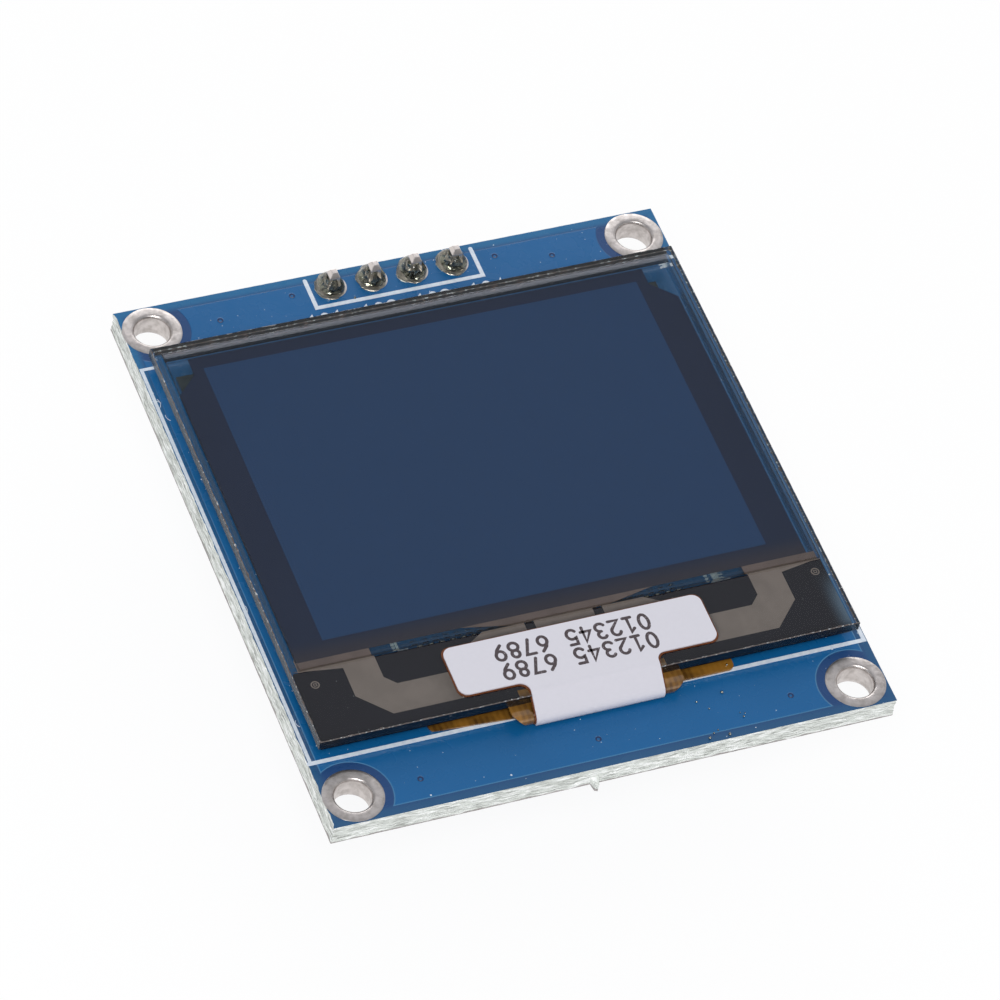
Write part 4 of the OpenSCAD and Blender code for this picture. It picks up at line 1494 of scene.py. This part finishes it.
@dataclass
class Panel:
    """The glass panel: two glasses, the layers between them, the polariser and the tape."""

    lift: float = 0.003
    edge_step: float = 0.12
    arris: float = 0.05
    chip: float = 0.1
    chip_grain: float = 0.3
    wave: float = 0.012
    wave_grain: float = 0.5
    film_round: float = 0.03
    rolled: Point2 = (0.42, 0.16)
    tilts: Point3 = (6.0, 20.0, 40.0)
    roll_steps: int = 9
    guard: float = 0.02
    seal_w: float = 0.2
    bead_inset: float = 0.05
    bead_drop: float = 0.5
    bead_round: float = 0.08
    shift: float = 0.15
    track_outer: float = 13.23
    shoulder_drop: float = 0.3
    mark_x: float = 15.12
    mark_y: float = -10.08
    mark_r: float = 0.22
    mark_half: float = 0.08
    # Where the resin's painted bluish glow lies.
    glow_from: Point2 = (14.7, -9.7)
    glow_to: Point2 = (16.3, -12.6)

    def build(self) -> None:
        """Builds the panel's pieces."""
        self.build_front_glass()
        self.build_polariser()
        self.build_seal()
        self.build_tracks()
        dress("cover_glass", BuriedGlass("bonded rear glass"))
        dress("panel_tape", ClearTape("clear acrylic tape"))
        dress("drying_sheet", DRYING_SHEET)
        frame_low, pixels_low = corners_of("electrode_frame")[0].y, corners_of("pixel_field")[0].y
        dress("electrode_frame", ChromeBlack("chrome black border", (pixels_low + 0.3, frame_low)))
        dress("pixel_field", PixelGrid("unlit organic pixels"))
        dress("ledge_conductors", THIN_METAL)
        dress("driver_chip", SILICON)
        dress("ledge_resin", BlackEpoxy("cured black epoxy", self.glow_from, self.glow_to))

    def build_front_glass(self) -> None:
        """Builds the front glass with its scribed and chipped edge."""
        low, high = corners_of("front_glass")
        bm = bmesh.new()
        outline = walk(rectangle(low.xy, high.xy), self.edge_step)
        bottom, top = low.z + self.lift, high.z

        def row(height: float, inset: Callable[[Vector], float]) -> list:
            made = []
            for spot, way in outline:
                place = Vector((spot[0], spot[1], height * 3))
                deep = inset(place)
                at = Vector((spot[0] - way[0] * deep, spot[1] - way[1] * deep, height))
                made.append(bm.verts.new(at * MM))
            return made

        def chipped(place: Vector) -> float:
            return self.arris + self.chip * max(0.0, rough_at(place, self.chip_grain) - 0.1)

        def wavy(place: Vector) -> float:
            return self.wave * (1 + rough_at(place, self.wave_grain))

        rows = [
            row(bottom, chipped),
            row(bottom + self.arris, wavy),
            row((bottom + top) / 2, wavy),
            row(top - self.arris, wavy),
            row(top, chipped),
        ]
        bm.faces.new(rows[0][::-1]).material_index = 3
        bm.faces.new(rows[-1])
        for level, (one, two) in enumerate(zip(rows, rows[1:])):
            for wall in band(bm, one, two):
                wall.material_index = 2 if level in (0, 3) else 1
        self.part_under_film(bm, top)
        mesh = mesh_of("front_glass_sheet", bm, 20)
        finishes = (
            SodaGlass("soda-lime display glass"),
            ScribedEdge("scribed glass edge"),
            FROSTED_ARRIS,
            BondedFace("bonded glass face"),
        )
        piece(mesh, finishes, Slot.GLASS, ("front_glass",))

    def part_under_film(self, bm: Build, top: float) -> None:
        """Divides the glass's upper face where the film is bonded to it.

        Args:
            bm: The glass's bmesh.
            top: Height of its upper face.
        """
        low, high = corners_of("polariser")
        for point, way in ((low, (1, 0, 0)), (high, (1, 0, 0)), (low, (0, 1, 0)), (high, (0, 1, 0))):
            faces = [f for f in bm.faces if all(v.co.z > (top - 0.001) * MM for v in f.verts)]
            parts = list({v for f in faces for v in f.verts} | {e for f in faces for e in f.edges}) + faces
            bmesh.ops.bisect_plane(bm, geom=parts, plane_co=point * MM, plane_no=way, dist=1e-7)
        for face in bm.faces:
            spot = face.calc_center_median() / MM
            inside = low.x < spot.x < high.x and low.y < spot.y < high.y
            if inside and spot.z > top - 0.001:
                face.material_index = 3

    def build_polariser(self) -> None:
        """Builds the film, rolled down at its back edge and open where glass bonds to it."""
        low, high = corners_of("polariser")
        bottom, top, r = low.z + self.lift, high.z, self.film_round
        reach = sum(self.rolled)
        roll = [(high.y - reach, top)]
        for start, stop, width in zip(self.tilts, self.tilts[1:], self.rolled):
            step = width / self.roll_steps
            for k in range(self.roll_steps):
                tilt = math.radians(start + (stop - start) * (k + 0.5) / self.roll_steps)
                y, z = roll[-1]
                roll.append((y + step, z - math.tan(tilt) * step))
        outline = [(low.y, bottom), (high.y, bottom)] + roll[::-1]
        outline += [(high.y - reach - self.guard, top), (low.y + r + self.guard, top)]
        outline += [(low.y + r, top), (low.y + r * 0.3, top - r * 0.3), (low.y, top - r)]
        bm = bmesh.new()
        widths = (low.x, low.x + r, low.x + r + self.guard, high.x - r - self.guard, high.x - r, high.x)
        sides = [[bm.verts.new(Vector((x, y, z)) * MM) for y, z in outline] for x in widths]
        for side in (sides[0], sides[-1]):
            for vert in side:
                vert.co.z = max(bottom * MM, vert.co.z - r * 0.6 * MM)
        count = len(outline)
        bm.faces.new(sides[0]).material_index = 1
        bm.faces.new(sides[-1][::-1]).material_index = 1
        for number, (one, two) in enumerate(zip(sides, sides[1:])):
            for i in range(1, count):
                j = (i + 1) % count
                face = bm.faces.new((one[i], two[i], two[j], one[j]))
                if number in (0, len(sides) - 2) or i in (1, count - 1):
                    face.material_index = 1
        mesh = mesh_of("polarising_film", bm, 25)
        finishes = (PolarisingFilm("smoky polarising film"), FILM_EDGE)
        piece(mesh, finishes, Slot.POLARISER, ("polariser",))

    def build_seal(self) -> None:
        """Builds the pressed seal between the glasses, and the dark bead squeezed out at the back."""
        low, high = corners_of("glass_seal")
        width = self.seal_w
        bm = bmesh.new()
        loops = [
            [bm.verts.new(Vector((x, y, z)) * MM) for x, y in rectangle(*corners)]
            for corners in (
                ((low.x, low.y), (high.x, high.y)),
                ((low.x + width, low.y + width), (high.x - width, high.y - width)),
            )
            for z in (low.z + self.lift, high.z - self.lift)
        ]
        for one, two in ((0, 1), (1, 3), (3, 2), (2, 0)):
            band(bm, loops[one], loops[two])
        mesh = mesh_of("pressed_seal", bm)
        piece(mesh, (CLEAR_SEAL,), Slot.SEAL, ("glass_seal",))
        edge = corners_of("front_glass")[1].y
        bead = bmesh.new()
        outline = rectangle((low.x, high.y + 0.004), (high.x, edge - self.bead_inset))
        prism(bead, outline, high.z - self.bead_drop, high.z - self.lift)
        soften(bead, self.bead_round, 3)
        mesh = mesh_of("seal_bead", bead)
        piece(mesh, (SEAL_BEAD,), Slot.SEAL)

    def build_tracks(self) -> None:
        """Adds the slanted shoulders of the side conductors and the two alignment marks."""
        resin_top = corners_of("ledge_resin")[1].y
        side = corners_of("cover_glass")[1].x
        top = corners_of("ledge_conductors")[1].z
        low, high = top - 0.004, top + 0.001
        half = self.mark_half
        bm = bmesh.new()
        for way in (-1, 1):
            outer = self.shift + way * self.track_outer
            corners = [
                (outer, resin_top - self.shoulder_drop),
                (way * side, resin_top + 0.1),
                (outer - way * 0.2, resin_top + 0.1),
            ]
            prism(bm, corners[::way], low, high)
            x = self.shift + way * self.mark_x
            y = self.mark_y + way * 0.12
            ring = oval((x, y), (self.mark_r, self.mark_r), 0, 360, 28)
            ribbon(bm, ring, 0.07, low, high)
            square = rectangle((x - half, y - half), (x + half, y + half))
            ribbon(bm, square + square[:1], 0.05, low, high)
        mesh = mesh_of("track_shoulders_and_marks", bm)
        piece(mesh, (THIN_METAL,), Slot.CONDUCTOR)


# ---- Cable and label ----


@dataclass
class Fold:
    """The line in height and length that a sheet follows over the glass edge and round the fold."""

    start: Vector
    edge: Vector
    edge_r: float
    centre: Vector
    radius: float
    end_angle: float

    def __post_init__(self) -> None:
        """Works out where the sheet leaves the edge and meets the fold."""
        self.pivot = Vector((self.edge.x + self.edge_r, self.edge.y - self.edge_r))
        gap = self.centre - self.pivot
        toward = math.atan2(gap.y, gap.x)
        turn = math.acos((self.edge_r - self.radius) / gap.length)
        self.lean = (toward - turn) % (2 * math.pi)
        self.flat = self.start.x - self.pivot.x
        self.bend = self.edge_r * (self.lean - math.pi / 2)
        self.run = math.sqrt(gap.length**2 - (self.edge_r - self.radius) ** 2)
        self.wrap = self.radius * (self.end_angle - self.lean)

    @property
    def length(self) -> float:
        """Whole length of the line."""
        return self.flat + self.bend + self.run + self.wrap

    def at(self, travelled: float) -> tuple[Vector, Vector]:
        """Returns the point and the outward direction at a distance from the start."""
        if travelled <= self.flat:
            return Vector((self.start.x - travelled, self.edge.y)), Vector((0, 1))
        travelled -= self.flat
        if travelled <= self.bend:
            angle = math.pi / 2 + travelled / self.edge_r
            out = Vector((math.cos(angle), math.sin(angle)))
            return self.pivot + out * self.edge_r, out
        travelled -= self.bend
        if travelled <= self.run:
            out = Vector((math.cos(self.lean), math.sin(self.lean)))
            along = Vector((-out.y, out.x))
            return self.pivot + out * self.edge_r + along * travelled, out
        angle = self.lean + (travelled - self.run) / self.radius
        out = Vector((math.cos(angle), math.sin(angle)))
        return self.centre + out * self.radius, out


def folded_sheet(
    name: str,
    outline: Sequence[Point2],
    cuts: Iterable[float],
    place: Callable[[float, float, float], Vector],
    low: float,
    high: float,
) -> bpy.types.Mesh:
    """Cuts a flat sheet along its bend lines and lays it along a line.

    Args:
        name: Name of the mesh.
        outline: The flat sheet's outline as width and length travelled.
        cuts: Lengths at which the sheet is divided so that it can bend.
        place: Gives the point in millimetres for a width, a length and a height off the line.
        low: Height of the sheet's under face off the line.
        high: Height of its upper face.

    Returns:
        The mesh.
    """
    flat = bmesh.new()
    flat.faces.new([flat.verts.new((x, s, 0)) for x, s in outline]).normal_update()
    bmesh.ops.triangulate(flat, faces=flat.faces[:])
    for cut in cuts:
        parts = flat.verts[:] + flat.edges[:] + flat.faces[:]
        bmesh.ops.bisect_plane(flat, geom=parts, plane_co=(0, cut, 0), plane_no=(0, 1, 0), dist=1e-6)
    bmesh.ops.remove_doubles(flat, verts=flat.verts[:], dist=1e-5)
    flat.verts.index_update()
    bm = bmesh.new()
    twins = []
    for vert in flat.verts:
        x, s = vert.co.x, vert.co.y
        twins.append([bm.verts.new(place(x, s, height) * MM) for height in (low, high)])
    for face in flat.faces:
        numbers = [v.index for v in face.verts]
        bm.faces.new([twins[n][1] for n in numbers])
        bm.faces.new([twins[n][0] for n in reversed(numbers)])
    for edge in flat.edges:
        if len(edge.link_faces) == 1:
            a, b = (v.index for v in edge.verts)
            bm.faces.new((twins[a][0], twins[b][0], twins[b][1], twins[a][1]))
    flat.free()
    return mesh_of(name, bm, 50)


@dataclass
class Cable:
    """The flex cable and the label that is wrapped over it."""

    bar_w: float = 15.5
    bar_l: float = 3.3
    stem_w: float = 7.7
    corner_r: float = 0.55
    rim: float = 0.09
    amber_t: float = 0.05
    label_t: float = 0.08
    edge_r: float = 0.4
    neck_w: float = 10.3
    waist_w: float = 8.5
    fillet: float = 0.4
    taper: float = 0.3
    lift: float = 0.004
    flex_t: float = 0.1
    bonded: float = 0.8
    line_places: Point2 = (0.56, -0.76)
    line_shift: float = 0.3
    ink_t: float = 0.006
    pads: int = 25
    pad_pitch: float = 0.65

    def build(self) -> None:
        """Builds the cable, its solder, the tape and the label."""
        glass_low, glass_high = corners_of("front_glass")
        flex_low, flex_high = corners_of("flex_cable")
        label_low, label_high = corners_of("panel_label")
        self.glass_top, self.edge_y = glass_high.z, glass_low.y
        self.front_z = glass_low.z
        self.tail_z = flex_low.z
        self.fold_r = (self.front_z - self.tail_z) / 2
        self.fold = Vector((flex_low.y + self.fold_r, self.tail_z + self.fold_r))
        self.shift = (label_low.x + label_high.x) / 2
        self.bar_top = label_high.y
        self.tail = (flex_low, flex_high)
        self.build_flex()
        self.build_solder()
        self.build_wrap("polyimide_tape", self.rim, 0.0, self.amber_t,
                        AMBER_TAPE, Slot.AMBER, "amber_tape")
        self.build_wrap("panel_label_sheet", 0.0, self.amber_t, self.amber_t + self.label_t,
                        PaperLabel("satin label stock"), Slot.LABEL, "panel_label")
        self.build_digits()

    def build_wrap(
        self, name: str, rim: float, low: float, high: float, finish: Finish, slot: Slot, node: str
    ) -> None:
        """Builds one T-shaped sheet that bends over the glass edge and round the fold.

        Args:
            name: The piece's name.
            rim: How far it reaches past the label's outline.
            low: Height of its under face off the glass.
            high: Height of its upper face off the glass.
            finish: Its finish.
            slot: Its slot.
            node: The CAD node that it is shown instead of.
        """
        fold = Fold(
            start=Vector((self.bar_top + rim, self.glass_top)),
            edge=Vector((self.edge_y, self.glass_top + self.lift)),
            edge_r=self.edge_r,
            centre=self.fold,
            radius=self.fold_r + 0.006,
            end_angle=math.radians(210),
        )
        bar = self.bar_w / 2 + rim
        stem = self.stem_w / 2 + rim
        r, deep, end = self.corner_r, self.bar_l + 2 * rim, fold.length
        half = [(stem, end)]
        half += arc_points((stem + r, deep + r), r, 180, 270)
        half += arc_points((bar - r, deep - r), r, 90, 0)
        half += arc_points((bar - r, r), r, 0, -90)
        outline = half + [(-x, s) for x, s in reversed(half)]
        run = fold.flat + fold.bend
        bends = [fold.flat + fold.bend * k / 8 for k in range(9)]
        bends += [run + fold.run + fold.wrap * k / 14 for k in range(14)]
        bends += [run + fold.run * k / 4 for k in range(1, 4)]

        def place(x: float, s: float, height: float) -> Vector:
            spot, out = fold.at(s)
            at = spot + out * height
            return Vector((self.shift + x, at.x, at.y))

        mesh = folded_sheet(name, outline[::-1], bends, place, low, high)
        piece(mesh, (finish,), slot, (node,))

    def build_flex(self) -> None:
        """Builds the flex cable with its neck, fold and wide tail."""
        low, high = self.tail
        bond_end = self.edge_y + self.bonded
        top = bond_end - self.fold.x
        turn = math.pi * self.fold_r
        neck, waist = self.neck_w / 2, self.waist_w / 2
        left, right = low.x - self.shift, high.x - self.shift
        front = top + turn + 0.35
        end = top + turn + (high.y - self.fold.x)
        r = self.fillet
        sweep = []
        for k in range(13):
            share = k / 12
            ease = share * share * (3 - 2 * share)
            sweep.append((neck + (waist - neck) * ease, top - 0.1 + (turn - 0.05) * share))
        outline = [(neck, 0.0)] + sweep
        outline += arc_points((waist + r, front - r), r, 180, 90)
        outline += arc_points((right - r, front + r), r, -90, 0)
        outline += arc_points((right - r, end - r), r, 0, 90)
        outline += arc_points((left + r, end - r), r, 90, 180)
        outline += arc_points((left + r, front + r + self.taper), r, 180, 270)
        outline += arc_points((-waist - r, front - r), r, 90, 0)
        outline += [(-x, length) for x, length in reversed(sweep)] + [(-neck, 0.0)]
        cuts = [top + turn * k / 24 for k in range(25)]
        radius = self.fold_r

        def place(x: float, s: float, height: float) -> Vector:
            if s <= top:
                spot, out = Vector((bond_end - s, self.front_z)), Vector((0, 1))
            elif s <= top + turn:
                angle = math.pi / 2 + (s - top) / radius
                out = Vector((math.cos(angle), math.sin(angle)))
                spot = self.fold + out * radius
            else:
                spot, out = Vector((self.fold.x + s - top - turn, self.tail_z)), Vector((0, -1))
            at = spot + out * height
            return Vector((self.shift + x, at.x, at.y))

        mesh = folded_sheet("flex_cable_film", outline, cuts, place, -self.flex_t, -0.002)
        piece(mesh, (FlexFilm("polyimide flex cable"),), Slot.FLEX, ("flex_cable",))

    def build_solder(self) -> None:
        """Builds a rounded mound of solder on the bare end of each pad."""
        low, high = corners_of("flex_solder")
        width = (high.x - low.x) - (self.pads - 1) * self.pad_pitch
        rise = high.z - low.z
        bm = bmesh.new()
        across, along = 6, 8
        for i in range(self.pads):
            x0 = low.x + i * self.pad_pitch
            grid = []
            for a in range(along + 1):
                line = []
                for c in range(across + 1):
                    u, v = c / across, a / along
                    hump = (1 - (2 * u - 1) ** 4) ** 0.5 * (1 - (2 * v - 1) ** 4) ** 0.5
                    wave = 0.15 * rough_at(Vector((i * 3.1 + u, v * 2, 0.5)), 0.6)
                    height = low.z + rise * hump * (0.85 + wave)
                    spot = Vector((x0 + width * u, low.y + (high.y - low.y) * v, height))
                    line.append(bm.verts.new(spot * MM))
                grid.append(line)
            for a in range(along):
                for c in range(across):
                    bm.faces.new((grid[a][c], grid[a][c + 1], grid[a + 1][c + 1], grid[a + 1][c]))
            rim = grid[0][:-1] + [line[-1] for line in grid[:-1]]
            rim += grid[-1][:0:-1] + [line[0] for line in grid[:0:-1]]
            bm.faces.new(rim[::-1])
        mesh = mesh_of("flex_solder_mounds", bm, 60)
        piece(mesh, (SOLDER,), Slot.SOLDER, ("flex_solder",))

    def build_digits(self) -> None:
        """Prints two lines of plain digits upside down on the label."""
        low = self.glass_top + self.lift + self.amber_t + self.label_t - 0.002
        middle = self.bar_top - self.bar_l / 2
        bm = bmesh.new()
        for dy in self.line_places:
            line = Lettering(
                "012345 6789", (self.shift - self.line_shift, middle + dy), height=1.0, pitch=0.865,
                pen=0.19, upside_down=True,
            )
            line.write(bm, low, low + self.ink_t)
        mesh = mesh_of("label_digits", bm)
        piece(mesh, (LABEL_INK,), Slot.LABEL)


# ---- Parts on the back ----


@dataclass
class BackParts:
    """The surface-mounted parts on the board's back face."""

    end: float = 0.35
    inset: float = 0.03
    rounding: float = 0.05

    def build(self) -> None:
        """Builds the chip parts and dresses the packages."""
        for i in range(1, 9):
            self.build_chip(f"capacitor_{i}", CERAMIC, Slot.CERAMIC)
            self.build_chip(f"resistor_{i}", nylon("glazed resistor face", "#15161a", 0.3), Slot.RESISTOR)
        for node in ("voltage_regulator", "boost_converter", "boost_diode"):
            dress(node, nylon("moulded epoxy package", "#1b1b1d", 0.55), 0.03)
        dress("boost_inductor", nylon("pressed ferrite", "#3c3d40", 0.6), 0.06)

    def build_chip(self, node: str, body: Finish, slot: Slot) -> None:
        """Builds a ceramic body between two tinned ends.

        Args:
            node: The CAD node that it is shown instead of.
            body: Finish of the ceramic body.
            slot: Its slot.
        """
        low, high = corners_of(node)
        upright = (high.y - low.y) > (high.x - low.x)
        a, b = (low.y, high.y) if upright else (low.x, high.x)
        c, d = (low.x, high.x) if upright else (low.y, high.y)

        def block(start: float, stop: float, inset: float) -> list:
            span = [(start, c + inset), (stop, d - inset)]
            if upright:
                span = [(p[1], p[0]) for p in span]
            return prism(bm, rectangle(span[0], span[1]), low.z + inset, high.z - inset)

        bm = bmesh.new()
        block(a + self.end * 0.8, b - self.end * 0.8, self.inset)
        block(a, a + self.end, 0.0)
        block(b - self.end, b, 0.0)
        soften(bm, self.rounding, 3)
        mesh = mesh_of(f"{node}_chip", bm)
        for face in mesh.polygons:
            along = face.center[1 if upright else 0] / MM
            inside = a + self.end * 1.001 < along < b - self.end * 1.001
            face.material_index = 0 if inside else 1
        piece(mesh, (body, HOT_TIN), slot, (node,))


# ---- Studio ----


@dataclass
class Studio:
    """Floor, soft light and camera."""

    azimuth: float = -30.553
    elevation: float = 50.332
    roll: float = 12.507
    distance: float = 0.34448
    aim: Point2 = (0.151, 0.289)
    lens_ratio: float = 6.07645
    floor_size: float = 4.0
    skyline: str = "#f6f6f6"
    overhead: str = "#bfc1c5"
    front: str = "#8d9095"
    back_way: Point3 = (0.5, 0.86, 0.0)

    def build(self) -> None:
        """Builds the floor, the lamps, the sky and the camera."""
        self.build_floor()
        self.build_sky()
        self.build_lamps()
        self.build_camera()

    def build_floor(self) -> None:
        """Lays white paper just under the lowest pin."""
        bm = bmesh.new()
        half = self.floor_size / 2
        height = CAD_BOUNDS[0][2] - 0.00003
        bm.faces.new([bm.verts.new((x, y, height)) for x, y in rectangle((-half, -half), (half, half))])
        mesh = mesh_of("studio_paper", bm)
        floor = bpy.data.objects.new("studio_paper", mesh)
        bpy.context.scene.collection.objects.link(floor)
        mesh.materials.append(StudioFloor("white studio paper").material())

    def build_sky(self) -> None:
        """Lights the room: pale near the horizon, dimmer overhead."""
        world = bpy.data.worlds.new("studio_room")
        bpy.context.scene.world = world
        world.use_nodes = True
        tree = world.node_tree
        tree.nodes.clear()
        way = add(tree, "TexCoord").outputs["Generated"]
        high = part_of(tree, way, Axis.Z)
        dot = add(tree, "VectorMath", {0: way, 1: self.back_way}, operation="DOT_PRODUCT")
        facing = dot.outputs["Value"]
        above = blend_of(tree, step_of(tree, facing, -0.1, 0.35), linear(self.front), linear(self.overhead))
        colour = blend_of(tree, step_of(tree, high, 0.12, 0.6), linear(self.skyline), above)
        glow = add(tree, "Background", {"Color": colour, "Strength": 1.0}).outputs[0]
        add(tree, "OutputWorld", {"Surface": glow})

    def build_lamps(self) -> None:
        """Hangs the key soft box over the front and a low one behind the module."""
        boxes = (
            ("key_box", (-0.17, -0.28, 0.44), (0.16, 0.16), 1.68),
            ("back_box", (0.152, 0.415, 0.235), (0.32, 0.24), 0.48),
        )
        for name, spot, size, power in boxes:
            data = bpy.data.lights.new(name, "AREA")
            data.shape = "RECTANGLE"
            data.size, data.size_y = size
            data.energy = power
            lamp = bpy.data.objects.new(name, data)
            lamp.location = spot
            lamp.rotation_euler = (-Vector(spot)).to_track_quat("-Z", "Y").to_euler()
            bpy.context.scene.collection.objects.link(lamp)

    def build_camera(self) -> None:
        """Sets the camera to look down on the module from its lower left."""
        az, el, roll = (math.radians(a) for a in (self.azimuth, self.elevation, self.roll))
        out = Vector((math.sin(az) * math.cos(el), -math.cos(az) * math.cos(el), math.sin(el)))
        target = Vector((self.aim[0] * MM, self.aim[1] * MM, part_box("circuit_board")[1].z))
        level = (-out).cross(Vector((0, 0, 1))).normalized()
        over = level.cross(-out)
        right = level * math.cos(roll) + over * math.sin(roll)
        up = out.cross(right)
        data = bpy.data.cameras.new("camera")
        data.sensor_width = 36
        data.lens = self.lens_ratio * data.sensor_width
        data.clip_start = 0.01
        data.clip_end = 20
        camera = bpy.data.objects.new("camera", data)
        turn = Matrix((right, up, out)).transposed().to_4x4()
        camera.matrix_world = Matrix.Translation(target + out * self.distance) @ turn
        bpy.context.scene.collection.objects.link(camera)
        bpy.context.scene.camera = camera
        bpy.context.scene.view_settings.view_transform = "Standard"


def main() -> None:
    """Builds the module's pieces in order, then the studio."""
    logging.basicConfig(level=logging.INFO, format="%(name)s: %(message)s")
    for builder in (Board(), Header(), Panel(), Cable(), BackParts(), Studio()):
        LOG.info("building %s", type(builder).__name__)
        builder.build()


if __name__ == "__main__":
    main()
